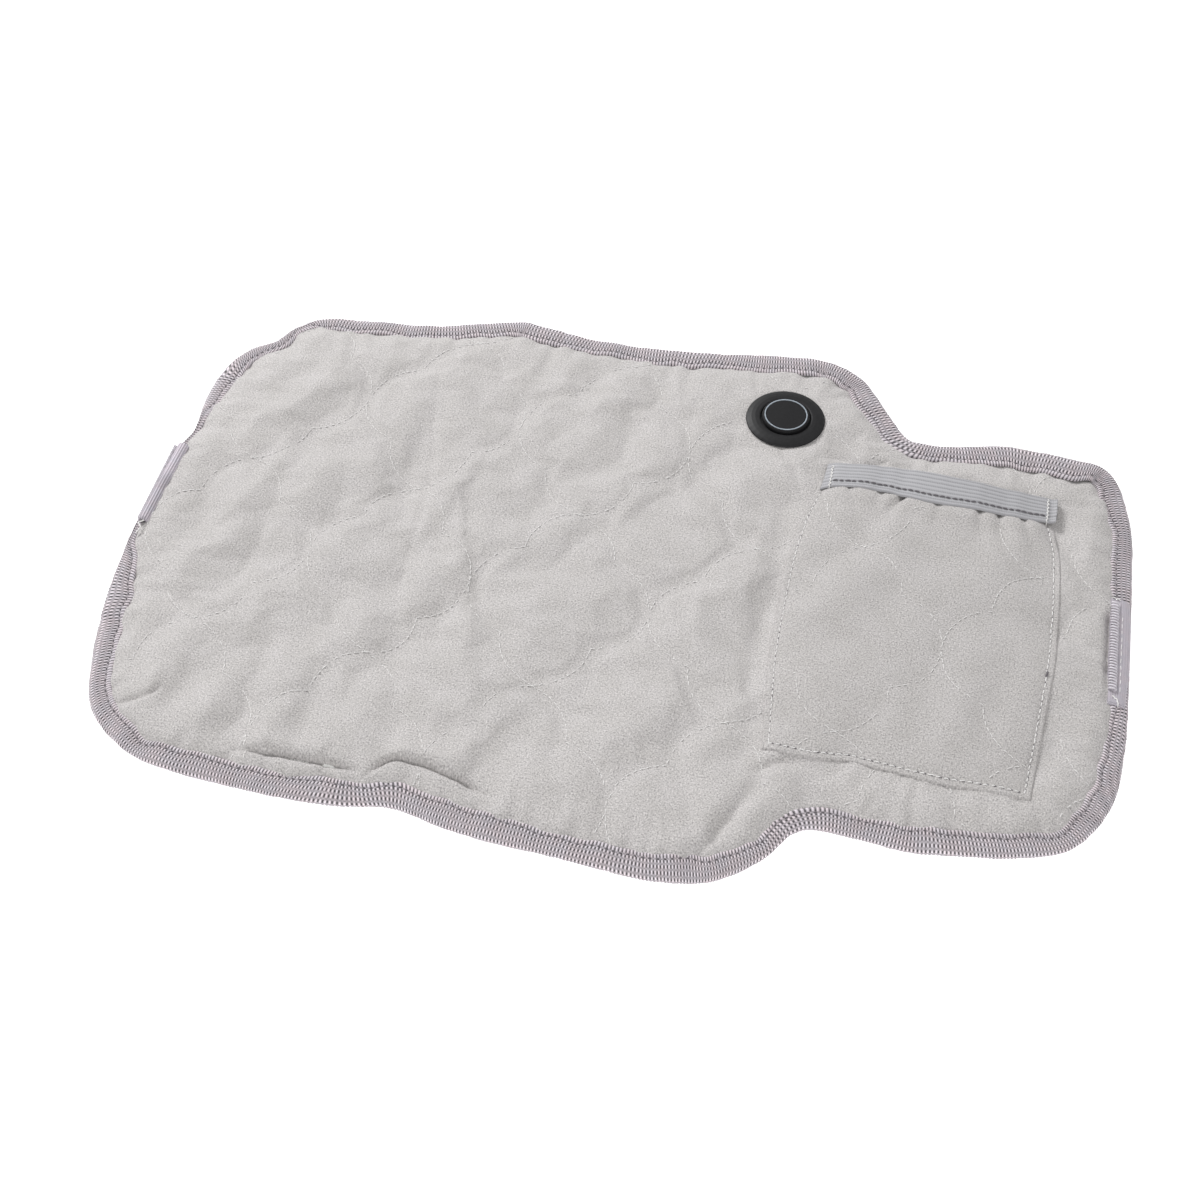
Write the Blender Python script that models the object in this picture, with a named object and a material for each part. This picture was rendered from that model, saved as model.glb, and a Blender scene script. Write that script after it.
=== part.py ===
"""A quilted heating pad with a round power button, a power-bank pocket and two zip stringers.

The pad lies flat with its underside on z = 0. +X runs along its length towards the pocket,
+Y across it towards the pocket's mouth, and the origin is the middle of its outline.
Lengths are in metres.
"""

import itertools
import math

import bmesh
import bpy
from mathutils import Matrix, Vector

MM = 0.001
GAP = 0.3 * MM  # between pieces that touch
FOLD_X = -105 * MM  # the pad folds here, along Y
FOLD_GAP = 0.4 * MM

# The outline's corners, upper side, as (x, y, radius). The lower side mirrors them.
END_BOW = (-250.4 * MM, 0.0, 1200 * MM)
UPPER_CORNERS = [
    (-247 * MM, 157 * MM, 62 * MM),  # wide lobe, outer corner
    (93 * MM, 171 * MM, 26 * MM),  # wide lobe, shoulder
    (114 * MM, 127.5 * MM, 20 * MM),  # where the shoulder meets the tail
    (249.7 * MM, 126 * MM, 38 * MM),  # tail, outer corner
]
CORNER_STEP = math.radians(14)

# Heights of the layers, underside and top.
LINING_Z = (0.0, 1.2 * MM)
CARRIER_Z = (1.5 * MM, 2.1 * MM)
WIRE_Z = 3.4 * MM
WADDING_Z = (4.7 * MM, 9.0 * MM)
COVER_Z = (9.3 * MM, 10.8 * MM)

# The binding grips the edges of the lining and the top cover.
BINDING_WIDTH = 11 * MM
BINDING_HEIGHT = 6.0 * MM
BINDING_WALL = 1.2 * MM
EDGE_INSET = 1.6 * MM
COVER_EDGE_Z = (3.1 * MM, 4.4 * MM)
LINING_EDGE_Z = (1.5 * MM, 2.7 * MM)
COVER_RISE_END = 24 * MM  # from the edge, where the top cover reaches its height
CARRIER_INSET = 17 * MM
WADDING_INSET = 19 * MM

# Heating wire, laid in rows along X.
WIRE_DIAMETER = 1.6 * MM
ROW_FIRST_Y = -138 * MM
ROW_PITCH = 18.2 * MM
ROWS_RIGHT = 12
ROWS_LEFT = 16
TURN_STEPS = 5

# Controller, under the power button.
BUTTON_AT = Vector((64.7 * MM, 115.0 * MM, 0.0))
BEZEL_RADIUS = 21 * MM
COLLAR_OUTER = 16.4 * MM
COLLAR_INNER = 14.8 * MM
CAP_RADIUS = 12.6 * MM
CAP_TOP_Z = 15.0 * MM
CAP_GAP = 0.8 * MM  # round the cap
RING_RADII = (10.5 * MM, 11.7 * MM)  # of the groove that holds the light guide
LIP_RADIUS = 14.2 * MM
BASE_RADIUS = 18.6 * MM
BASE_WALL = 1.5 * MM
BASE_Z = (2.4 * MM, 9.0 * MM)
BOARD_RADIUS = 14.0 * MM
BOARD_Z = (6.2 * MM, 7.2 * MM)
SCREW_CIRCLE = 11.2 * MM
SCREW_ANGLES = [math.radians(a) for a in (90, 210, 330)]
GLAND_ANGLES = {"supply": 0.0, "return": math.pi, "heater": -math.pi / 2}
GLAND_Z = 4.1 * MM
GLAND_RADIUS = 1.4 * MM
GLAND_END = 20.6 * MM  # from the controller's axis
ROUND_STEPS = 36

# Pocket, sewn to the top cover on three sides.
POCKET_X = (87 * MM, 208 * MM)
POCKET_Y = (-95 * MM, 86 * MM)
ELASTIC_WIDTH = 15.5 * MM
POCKET_WALL = 1.5 * MM
POCKET_Z = (COVER_Z[1] + GAP, 16.7 * MM)
POCKET_SKIN = 1.2 * MM
ELASTIC_TOP_Z = 17.1 * MM
GROMMET_AT = Vector((99 * MM, 78 * MM, 0.0))

# Zip stringers, sewn over the binding at both ends.
ZIP_RIGHT = {"x": (237.5 * MM, 250 * MM), "y": (-37 * MM, 34 * MM), "coil_x": 241 * MM}
ZIP_LEFT = {"x": (-250 * MM, -238.5 * MM), "y": (-22 * MM, 33 * MM), "coil_x": -246.5 * MM}
TAPE_Z = (BINDING_HEIGHT + GAP, BINDING_HEIGHT + GAP + 1.2 * MM)
COIL_SIZE = (4.2 * MM, 2.0 * MM)


def clear_scene():
    for thing in list(bpy.data.objects):
        bpy.data.objects.remove(thing, do_unlink=True)


def make_material(name, colour, roughness, metallic=0.0):
    material = bpy.data.materials.new(name)
    material.use_nodes = True
    shader = material.node_tree.nodes["Principled BSDF"]
    shader.inputs["Base Color"].default_value = (*colour, 1.0)
    shader.inputs["Roughness"].default_value = roughness
    shader.inputs["Metallic"].default_value = metallic
    return material


def make_materials():
    return {
        "cover": make_material("cover_fabric", (0.61, 0.585, 0.58), 0.95),
        "pocket": make_material("pocket_fabric", (0.55, 0.525, 0.52), 0.95),
        "binding": make_material("binding_tape", (0.44, 0.40, 0.41), 0.9),
        "elastic": make_material("elastic_band", (0.45, 0.44, 0.45), 0.85),
        "wadding": make_material("polyester_wadding", (0.85, 0.85, 0.84), 1.0),
        "carrier": make_material("nonwoven_carrier", (0.78, 0.78, 0.76), 0.9),
        "wire": make_material("silicone_wire", (0.62, 0.12, 0.08), 0.5),
        "lead": make_material("lead_jacket", (0.05, 0.05, 0.05), 0.5),
        "shell": make_material("controller_shell", (0.03, 0.03, 0.034), 0.5),
        "cap": make_material("button_rubber", (0.02, 0.02, 0.022), 0.55),
        "light": make_material("light_guide", (0.45, 0.53, 0.6), 0.3),
        "board": make_material("circuit_board", (0.03, 0.2, 0.07), 0.5),
        "steel": make_material("screw_steel", (0.6, 0.6, 0.6), 0.35, 1.0),
        "zip": make_material("zip_tape", (0.40, 0.38, 0.41), 0.85),
    }


def finish_object(name, mesh, material, smooth=False):
    if smooth:
        mesh.shade_smooth()
        mesh.set_sharp_from_angle(angle=math.radians(35))
    piece = bpy.data.objects.new(name, mesh)
    piece.data.materials.append(material)
    bpy.context.scene.collection.objects.link(piece)
    return piece


def mesh_from(name, points, faces):
    mesh = bpy.data.meshes.new(name)
    mesh.from_pydata(points, [], faces)
    shape = bmesh.new()
    shape.from_mesh(mesh)
    bmesh.ops.recalc_face_normals(shape, faces=shape.faces)
    shape.to_mesh(mesh)
    shape.free()
    return mesh


def box_object(name, low, high, material):
    corners = list(itertools.product(*zip(low, high)))
    faces = [(0, 1, 3, 2), (4, 6, 7, 5), (0, 4, 5, 1), (2, 3, 7, 6), (0, 2, 6, 4), (1, 5, 7, 3)]
    return finish_object(name, mesh_from(name, corners, faces), material)


def turned_object(name, profile, material, centre=None):
    """A solid turned about a vertical axis, from a closed anticlockwise profile of (radius, z)."""
    centre = centre or BUTTON_AT
    points = []
    rings = []
    for radius, height in profile:
        if radius == 0:
            rings.append([len(points)] * ROUND_STEPS)
            points.append((centre.x, centre.y, height))
            continue
        rings.append(list(range(len(points), len(points) + ROUND_STEPS)))
        for step in range(ROUND_STEPS):
            angle = 2 * math.pi * step / ROUND_STEPS
            x = centre.x + radius * math.cos(angle)
            y = centre.y + radius * math.sin(angle)
            points.append((x, y, height))
    faces = []
    for first, second in zip(rings, rings[1:] + rings[:1]):
        for step in range(ROUND_STEPS):
            after = (step + 1) % ROUND_STEPS
            face = [first[step], first[after], second[after], second[step]]
            face = list(dict.fromkeys(face))
            if len(face) > 2:
                faces.append(face)
    return finish_object(name, mesh_from(name, points, faces), material, smooth=True)


def cylinder_mesh(name, start, end, radius, steps=16):
    start = Vector(start)
    axis = Vector(end) - start
    across = axis.orthogonal().normalized()
    other = axis.cross(across).normalized()
    rings = []
    for place in (start, start + axis):
        for step in range(steps):
            angle = 2 * math.pi * step / steps
            rings.append(place + radius * (math.cos(angle) * across + math.sin(angle) * other))
    faces = [tuple(range(steps)), tuple(range(2 * steps - 1, steps - 1, -1))]
    for step in range(steps):
        after = (step + 1) % steps
        faces.append((step, after, steps + after, steps + step))
    return mesh_from(name, rings, faces)


def upright(name, foot, low, high, radius, steps=16):
    """A vertical cylinder over a point of the XY plane."""
    start = Vector((foot.x, foot.y, low))
    return cylinder_mesh(name, start, Vector((foot.x, foot.y, high)), radius, steps)


def tube_object(name, route, diameter, material):
    """A round tube along the route's points, with closed ends."""
    curve = bpy.data.curves.new(name, "CURVE")
    curve.dimensions = "3D"
    curve.bevel_depth = diameter / 2
    curve.bevel_resolution = 2
    curve.use_fill_caps = True
    spline = curve.splines.new("POLY")
    spline.points.add(len(route) - 1)
    for point, place in zip(spline.points, route):
        point.co = (*place, 1.0)
    piece = bpy.data.objects.new(name, curve)
    curve.materials.append(material)
    bpy.context.scene.collection.objects.link(piece)
    return piece


def cut(piece, cutter_mesh, operation="DIFFERENCE"):
    """Cuts, or joins on, a shape, which stays in the file as a hidden wire object."""
    tool = bpy.data.objects.new(piece.name + "_tool", cutter_mesh)
    tool.hide_render = True
    tool.display_type = "WIRE"
    bpy.context.scene.collection.objects.link(tool)
    modifier = piece.modifiers.new(operation.title(), "BOOLEAN")
    modifier.operation = operation
    modifier.solver = "EXACT"
    modifier.object = tool


def hang_on(name, place, pieces):
    """Parents a moving body's pieces to an empty on its joint's axis, and leaves them where they are."""
    axis = bpy.data.objects.new(name, None)
    axis.location = place
    bpy.context.scene.collection.objects.link(axis)
    for piece in pieces:
        piece.parent = axis
        piece.matrix_parent_inverse = Matrix.Translation(-Vector(place))


# ---------------------------------------------------------------- outline


def outline(inset):
    """The pad's outline this far inside its edge, anticlockwise, with its corners as arcs."""
    lower = [(x, -y, radius) for x, y, radius in UPPER_CORNERS]
    corners = [END_BOW] + lower + UPPER_CORNERS[::-1]
    count = len(corners)
    places = [Vector(corner[:2]) for corner in corners]
    edges = [(places[(i + 1) % count] - places[i]).normalized() for i in range(count)]
    points = []
    for i in range(count):
        before, after = edges[i - 1], edges[i]
        turn = math.atan2(before.cross(after), before.dot(after))
        inward = Vector((-before.y, before.x))
        slide = inset * math.tan(turn / 2)
        place = places[i] + inward * inset - before * slide
        radius = corners[i][2] - math.copysign(inset, turn)
        reach = radius * math.tan(abs(turn) / 2)
        start = place - before * reach
        centre = start + inward * math.copysign(radius, turn)
        steps = max(2, math.ceil(abs(turn) / CORNER_STEP))
        for step in range(steps + 1):
            angle = turn * step / steps
            points.append(centre + Matrix.Rotation(angle, 2) @ (start - centre))
    return points


def side_of_fold(points, side):
    """The part of a closed outline on the right (+1) or the left (-1) of the fold."""
    limit = FOLD_X + side * FOLD_GAP / 2
    kept = []
    for here, after in zip(points, points[1:] + points[:1]):
        inside = (here.x - limit) * side >= 0
        if inside:
            kept.append(here)
        if inside != ((after.x - limit) * side >= 0):
            share = (limit - here.x) / (after.x - here.x)
            kept.append(here.lerp(after, share))
    return kept


def layered_object(name, side, levels, material):
    """A closed solid through rings of the outline. levels are (inset, z), from the top to the bottom."""
    rings = []
    points = []
    for inset, height in levels:
        flat = side_of_fold(outline(inset), side)
        rings.append(list(range(len(points), len(points) + len(flat))))
        points += [(p.x, p.y, height) for p in flat]
    faces = [rings[0], rings[-1][::-1]]
    for upper, lower in zip(rings, rings[1:]):
        for step in range(len(upper)):
            after = (step + 1) % len(upper)
            faces.append([upper[step], lower[step], lower[after], upper[after]])
    return finish_object(name, mesh_from(name, points, faces), material)


def at_fold(point):
    return abs(point.x - FOLD_X) < MM


def edge_strip(name, side, section, material):
    """A solid that runs along the edge only. section is a closed loop of (inset, z)."""
    rings = []
    points = []
    for inset, height in section:
        flat = side_of_fold(outline(inset), side)
        # Start at the fold, so that the ring's ends are the cut ones.
        start = max(range(len(flat)), key=lambda i: flat[i].y * side if at_fold(flat[i]) else -1)
        flat = flat[start:] + flat[:start]
        if at_fold(flat[1]):
            flat = flat[1:] + flat[:1]
        rings.append(list(range(len(points), len(points) + len(flat))))
        points += [(p.x, p.y, height) for p in flat]
    faces = [[ring[0] for ring in rings], [ring[-1] for ring in rings][::-1]]
    for first, second in zip(rings, rings[1:] + rings[:1]):
        for step in range(len(first) - 1):
            faces.append([first[step], first[step + 1], second[step + 1], second[step]])
    return finish_object(name, mesh_from(name, points, faces), material)


# ---------------------------------------------------------------- the pad's layers


def make_layers(materials):
    for word, side in (("right", 1), ("left", -1)):
        cover = layered_object(
            "top_cover_" + word,
            side,
            [
                (COVER_RISE_END, COVER_Z[1]),
                (BINDING_WIDTH + MM, COVER_EDGE_Z[1]),
                (EDGE_INSET, COVER_EDGE_Z[1]),
                (EDGE_INSET, COVER_EDGE_Z[0]),
                (BINDING_WIDTH + 2 * MM, COVER_EDGE_Z[0]),
                (COVER_RISE_END + MM, COVER_Z[0]),
            ],
            materials["cover"],
        )
        wadding = layered_object(
            "wadding_" + word,
            side,
            [
                (COVER_RISE_END + 2 * MM, WADDING_Z[1]),
                (WADDING_INSET, WADDING_Z[0] + 0.6 * MM),
                (WADDING_INSET, WADDING_Z[0]),
            ],
            materials["wadding"],
        )
        layered_object(
            "heater_carrier_" + word,
            side,
            [(CARRIER_INSET, CARRIER_Z[1]), (CARRIER_INSET, CARRIER_Z[0])],
            materials["carrier"],
        )
        layered_object(
            "back_lining_" + word,
            side,
            [
                (BINDING_WIDTH + 3 * MM, LINING_Z[1]),
                (BINDING_WIDTH + MM, LINING_EDGE_Z[1]),
                (EDGE_INSET, LINING_EDGE_Z[1]),
                (EDGE_INSET, LINING_EDGE_Z[0]),
                (BINDING_WIDTH + 0.4 * MM, LINING_EDGE_Z[0]),
                (BINDING_WIDTH + 2.4 * MM, LINING_Z[0]),
            ],
            materials["cover"],
        )
        make_binding(word, side, materials)
        if side > 0:
            cut_round(cover, BUTTON_AT, COLLAR_OUTER + 0.5 * MM)
            cut_round(wadding, BUTTON_AT, GLAND_END + 0.6 * MM)
            cut_round(cover, GROMMET_AT, 3.4 * MM)
            cut_round(wadding, GROMMET_AT, 4.0 * MM)


def cut_round(piece, centre, radius):
    cut(piece, upright(piece.name + "_hole", centre, -MM, 20 * MM, radius, 32))


def make_binding(word, side, materials):
    """A tape folded over the edge: an open C of constant thickness."""
    inner_top = BINDING_HEIGHT - BINDING_WALL
    section = [
        (BINDING_WIDTH, BINDING_HEIGHT),
        (1.4 * MM, BINDING_HEIGHT),
        (0.4 * MM, BINDING_HEIGHT - MM),
        (0.0, BINDING_HEIGHT / 2),
        (0.4 * MM, MM),
        (1.4 * MM, 0.0),
        (BINDING_WIDTH, 0.0),
        (BINDING_WIDTH, BINDING_WALL),
        (BINDING_WALL, BINDING_WALL),
        (BINDING_WALL, inner_top),
        (BINDING_WIDTH, inner_top),
    ]
    edge_strip("edge_binding_" + word, side, section, materials["binding"])


# ---------------------------------------------------------------- heating wire


def row_height(row):
    return ROW_FIRST_Y + row * ROW_PITCH


def turn(x, row, way):
    """The half circle that joins a row to the next one, bulging towards way * X."""
    radius = ROW_PITCH / 2
    middle = row_height(row) + radius
    places = []
    for step in range(TURN_STEPS + 1):
        angle = -math.pi / 2 + math.pi * step / TURN_STEPS
        places.append((x + way * radius * math.cos(angle), middle + radius * math.sin(angle), WIRE_Z))
    return places


def right_turn_x(row):
    return 60 * MM if row_height(row) < -105 * MM else 210 * MM


def left_turn_x(row):
    middle = row_height(row) + ROW_PITCH / 2
    return -187 * MM if abs(middle) > 100 * MM else -214 * MM


def gland_end(which):
    angle = GLAND_ANGLES[which]
    return BUTTON_AT + Vector((math.cos(angle), math.sin(angle), 0)) * (GLAND_END + GAP)


def make_wires(materials):
    near_fold = 15 * MM
    end_x = FOLD_X + FOLD_GAP
    route = [(end_x, ROW_FIRST_Y, WIRE_Z)]
    for row in range(ROWS_RIGHT - 1):
        way = 1 if row % 2 == 0 else -1
        x = right_turn_x(row) if way > 0 else FOLD_X + near_fold
        route += turn(x, row, way)
    tip = gland_end("heater")
    last = row_height(ROWS_RIGHT - 1)
    route += [(tip.x + 22 * MM, last, WIRE_Z), (tip.x + 9 * MM, last + 3 * MM, WIRE_Z)]
    route += [(tip.x + 2 * MM, last + 10 * MM, WIRE_Z), (tip.x, tip.y, WIRE_Z)]
    tube_object("heating_wire_right", route, WIRE_DIAMETER, materials["wire"])

    start_x = FOLD_X - FOLD_GAP
    route = [(start_x, ROW_FIRST_Y, WIRE_Z)]
    for row in range(ROWS_LEFT - 1):
        way = -1 if row % 2 == 0 else 1
        x = left_turn_x(row) if way < 0 else FOLD_X - near_fold
        route += turn(x, row, way)
    top = row_height(ROWS_LEFT - 1)
    route.append((start_x, top, WIRE_Z))
    tube_object("heating_wire_left", route, WIRE_DIAMETER, materials["wire"])

    make_return_line(end_x, top, materials)
    make_supply_lead(materials)


def make_return_line(start_x, start_y, materials):
    """The wire back from the far half, through the thermal cutout, to the controller."""
    cutout_x = (-42 * MM, -30 * MM)
    half = 2.2 * MM
    tube_object(
        "return_wire",
        [(start_x, start_y, WIRE_Z), (cutout_x[0] - GAP, start_y, WIRE_Z)],
        WIRE_DIAMETER,
        materials["wire"],
    )
    box_object(
        "thermal_cutout",
        (cutout_x[0], start_y - half, 2.4 * MM),
        (cutout_x[1], start_y + half, 4.4 * MM),
        materials["steel"],
    )
    tip = gland_end("return")
    route = [
        (cutout_x[1] + GAP, start_y, WIRE_Z),
        (-10 * MM, start_y - MM, WIRE_Z),
        (5 * MM, start_y - 6 * MM, WIRE_Z),
        (18 * MM, tip.y + 9 * MM, WIRE_Z),
        (30 * MM, tip.y + 2 * MM, WIRE_Z),
        (tip.x, tip.y, WIRE_Z),
    ]
    tube_object("return_lead", route, WIRE_DIAMETER, materials["lead"])


def make_supply_lead(materials):
    """From under the pocket's grommet to the controller."""
    tip = gland_end("supply")
    route = [
        (GROMMET_AT.x, GROMMET_AT.y - 2 * MM, WIRE_Z),
        (GROMMET_AT.x, GROMMET_AT.y + 10 * MM, WIRE_Z),
        (GROMMET_AT.x - MM, GROMMET_AT.y + 20 * MM, WIRE_Z),
        (GROMMET_AT.x - 4 * MM, GROMMET_AT.y + 28 * MM, WIRE_Z),
        (GROMMET_AT.x - 9 * MM, tip.y - MM, WIRE_Z),
        (tip.x, tip.y, WIRE_Z),
    ]
    tube_object("supply_lead", route, WIRE_DIAMETER, materials["lead"])


# ---------------------------------------------------------------- controller and button


def make_base(materials):
    """The cup under the cover, with a post for each screw and a hole for each gland."""
    floor = BASE_Z[0] + 0.8 * MM
    inner = BASE_RADIUS - BASE_WALL
    profile = [
        (0, BASE_Z[0]),
        (BASE_RADIUS - 0.8 * MM, BASE_Z[0]),
        (BASE_RADIUS, BASE_Z[0] + 0.8 * MM),
        (BASE_RADIUS, BASE_Z[1]),
        (inner, BASE_Z[1]),
        (inner, floor),
        (0, floor),
    ]
    base = turned_object("controller_base", profile, materials["shell"])
    for angle in SCREW_ANGLES:
        foot = BUTTON_AT + SCREW_CIRCLE * Vector((math.cos(angle), math.sin(angle), 0))
        cut(base, upright("post", foot, BASE_Z[0] + 0.3 * MM, BOARD_Z[0] - GAP, 2.0 * MM), "UNION")
        cut(base, upright("pilot", foot, floor + 0.4 * MM, BOARD_Z[0] + MM, 1.0 * MM))
    for which, angle in GLAND_ANGLES.items():
        out = Vector((math.cos(angle), math.sin(angle), 0))
        level = BUTTON_AT + Vector((0, 0, GLAND_Z))
        start = level + out * (BASE_RADIUS - 4 * MM)
        end = level + out * (BASE_RADIUS + 4 * MM)
        cut(base, cylinder_mesh(which + "_hole", start, end, GLAND_RADIUS + GAP))


def make_glands(materials):
    for which, angle in GLAND_ANGLES.items():
        out = Vector((math.cos(angle), math.sin(angle), 0))
        level = BUTTON_AT + Vector((0, 0, GLAND_Z))
        start = level + out * (BASE_RADIUS - BASE_WALL - 1.2 * MM)
        mesh = cylinder_mesh("gland", start, level + out * GLAND_END, GLAND_RADIUS)
        finish_object(which + "_gland", mesh, materials["cap"], smooth=True)


def make_bezel(materials):
    """The domed flange over the cover, and its collar down into the base."""
    under = COVER_Z[1] + GAP
    inner = CAP_RADIUS + CAP_GAP
    profile = [
        (COLLAR_OUTER, 5.5 * MM),
        (COLLAR_OUTER, under),
        (BEZEL_RADIUS - 0.3 * MM, under),
        (BEZEL_RADIUS, under + 0.5 * MM),
        (BEZEL_RADIUS - 0.3 * MM, under + 0.9 * MM),
        (BEZEL_RADIUS - 1.2 * MM, under + 1.4 * MM),
        (BEZEL_RADIUS - 2.8 * MM, under + 1.9 * MM),
        (BEZEL_RADIUS - 4.8 * MM, under + 2.25 * MM),
        (inner + 0.9 * MM, under + 2.3 * MM),
        (inner + 0.2 * MM, under + 2.15 * MM),
        (inner, under + 1.8 * MM),
        (inner, 12.7 * MM),
        (COLLAR_INNER, 12.5 * MM),
        (COLLAR_INNER, 5.5 * MM),
    ]
    turned_object("controller_bezel", profile, materials["shell"])


def make_board(materials):
    profile = [(0, BOARD_Z[0]), (BOARD_RADIUS, BOARD_Z[0]), (BOARD_RADIUS, BOARD_Z[1]), (0, BOARD_Z[1])]
    board = turned_object("control_board", profile, materials["board"])
    for number, angle in enumerate(SCREW_ANGLES, 1):
        place = BUTTON_AT + SCREW_CIRCLE * Vector((math.cos(angle), math.sin(angle), 0))
        cut(board, upright("board_hole", place, BOARD_Z[0] - MM, BOARD_Z[1] + MM, 1.1 * MM))
        head = BOARD_Z[1] + GAP
        screw = [
            (0, BOARD_Z[0] - 2.2 * MM),
            (0.7 * MM, BOARD_Z[0] - 2.0 * MM),
            (0.7 * MM, head),
            (1.5 * MM, head),
            (1.4 * MM, head + 0.8 * MM),
            (0, head + 0.9 * MM),
        ]
        turned_object("board_screw_" + str(number), screw, materials["steel"], place)
    for word, way in (("left", -1), ("right", 1)):
        low = (BUTTON_AT.x + way * 9 * MM - 1.5 * MM, BUTTON_AT.y - 0.8 * MM, BOARD_Z[1] + GAP)
        high = (BUTTON_AT.x + way * 9 * MM + 1.5 * MM, BUTTON_AT.y + 0.8 * MM, BOARD_Z[1] + 1.6 * MM)
        box_object("led_" + word, low, high, materials["light"])


def make_switch(materials):
    half = 3.1 * MM
    low = (BUTTON_AT.x - half, BUTTON_AT.y - half, BOARD_Z[1] + GAP)
    high = (BUTTON_AT.x + half, BUTTON_AT.y + half, 10.2 * MM)
    body = box_object("tact_switch", low, high, materials["cap"])
    cut(body, upright("bore", BUTTON_AT, 8.6 * MM, 11 * MM, 2.1 * MM))


def make_button(materials):
    """The cap, its plunger and its light guide move down together."""
    groove_floor = CAP_TOP_Z - 0.8 * MM
    profile = [
        (0, 12.3 * MM),
        (2.0 * MM, 12.3 * MM),
        (2.0 * MM, 13.4 * MM),
        (11.6 * MM, 13.4 * MM),
        (11.6 * MM, 11.6 * MM),
        (LIP_RADIUS, 11.6 * MM),
        (LIP_RADIUS, 12.2 * MM),
        (CAP_RADIUS, 12.3 * MM),
        (CAP_RADIUS, CAP_TOP_Z - 0.9 * MM),
        (CAP_RADIUS - 0.3 * MM, CAP_TOP_Z - 0.3 * MM),
        (RING_RADII[1] + 0.2 * MM, CAP_TOP_Z),
        (RING_RADII[1], CAP_TOP_Z),
        (RING_RADII[1], groove_floor),
        (RING_RADII[0], groove_floor),
        (RING_RADII[0], CAP_TOP_Z),
        (0, CAP_TOP_Z + 0.2 * MM),
    ]
    cap = turned_object("button_cap", profile, materials["cap"])
    low = RING_RADII[0] + GAP
    high = RING_RADII[1] - GAP
    ring_profile = [
        (low, groove_floor + GAP),
        (high, groove_floor + GAP),
        (high, CAP_TOP_Z + 0.1 * MM),
        (low, CAP_TOP_Z + 0.1 * MM),
    ]
    ring = turned_object("light_ring", ring_profile, materials["light"])
    plunger_profile = [(0, 9.5 * MM), (1.7 * MM, 9.5 * MM), (1.7 * MM, 12.0 * MM), (0, 12.0 * MM)]
    plunger = turned_object("switch_plunger", plunger_profile, materials["light"])
    hang_on("button_press_axis", BUTTON_AT, (cap, ring, plunger))


# ---------------------------------------------------------------- pocket


def tray_mesh(name, x, y, z, wall, skin, closed_back):
    """A shallow tray upside down, open on its +Y side and, unless closed_back, on its -Y side too."""
    back = y[0] + wall if closed_back else y[0]
    outer = [(x[0], y[0]), (x[1], y[0]), (x[1], y[1]), (x[0], y[1])]
    inner = [(x[0] + wall, back), (x[1] - wall, back), (x[1] - wall, y[1]), (x[0] + wall, y[1])]
    ceiling = z[1] - skin
    points = [(px, py, z[1]) for px, py in outer]
    points += [(px, py, z[0]) for px, py in outer]
    points += [(px, py, ceiling) for px, py in inner]
    points += [(px, py, z[0]) for px, py in inner]
    faces = [(0, 1, 2, 3), (8, 11, 10, 9), (0, 3, 7, 4), (1, 5, 6, 2)]
    faces += [(8, 12, 15, 11), (9, 10, 14, 13)]  # inside of the two side walls
    faces += [(4, 7, 15, 12), (5, 13, 14, 6)]  # lower edges of the side walls
    faces += [(3, 2, 6, 14, 10, 11, 15, 7)]  # the mouth
    if closed_back:
        faces += [(0, 4, 5, 1), (8, 9, 13, 12), (4, 12, 13, 5)]
    else:
        faces += [(0, 4, 12, 8, 9, 13, 5, 1)]
    return mesh_from(name, points, faces)


def make_pocket(materials):
    split = POCKET_Y[1] - ELASTIC_WIDTH
    panel = tray_mesh(
        "pocket_panel", POCKET_X, (POCKET_Y[0], split - GAP), POCKET_Z, POCKET_WALL, POCKET_SKIN, True
    )
    panel = finish_object("pocket_panel", panel, materials["pocket"])
    elastic = tray_mesh(
        "pocket_elastic",
        POCKET_X,
        (split, POCKET_Y[1]),
        (POCKET_Z[0], ELASTIC_TOP_Z),
        POCKET_WALL,
        ELASTIC_TOP_Z - POCKET_Z[1] + POCKET_SKIN,
        False,
    )
    elastic = finish_object("pocket_elastic", elastic, materials["elastic"])
    hang_on("pocket_open_axis", (0.0, POCKET_Y[0], POCKET_Z[0]), (panel, elastic))
    under = COVER_Z[1] + GAP
    profile = [
        (2.0 * MM, 6.0 * MM),
        (3.0 * MM, 6.0 * MM),
        (3.0 * MM, under),
        (5.2 * MM, under),
        (4.9 * MM, under + 1.1 * MM),
        (3.0 * MM, under + 1.6 * MM),
        (2.0 * MM, under + 1.3 * MM),
    ]
    turned_object("pocket_grommet", profile, materials["cap"], GROMMET_AT)


# ---------------------------------------------------------------- zips


def make_zip(word, sizes, materials):
    box_object(
        "zip_tape_" + word,
        (sizes["x"][0], sizes["y"][0], TAPE_Z[0]),
        (sizes["x"][1], sizes["y"][1], TAPE_Z[1]),
        materials["zip"],
    )
    width, height = COIL_SIZE
    low = TAPE_Z[1] + GAP
    section = []
    for step in range(9):
        angle = math.pi * step / 8
        section.append((sizes["coil_x"] + width / 2 * math.cos(angle), low + height * math.sin(angle)))
    count = len(section)
    points = [(x, y, z) for y in (sizes["y"][0] + MM, sizes["y"][1] - MM) for x, z in section]
    faces = [tuple(range(count)), tuple(range(2 * count - 1, count - 1, -1))]
    for step in range(count):
        after = (step + 1) % count
        faces.append((step, after, count + after, count + step))
    finish_object("zip_coil_" + word, mesh_from("coil", points, faces), materials["zip"])


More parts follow.
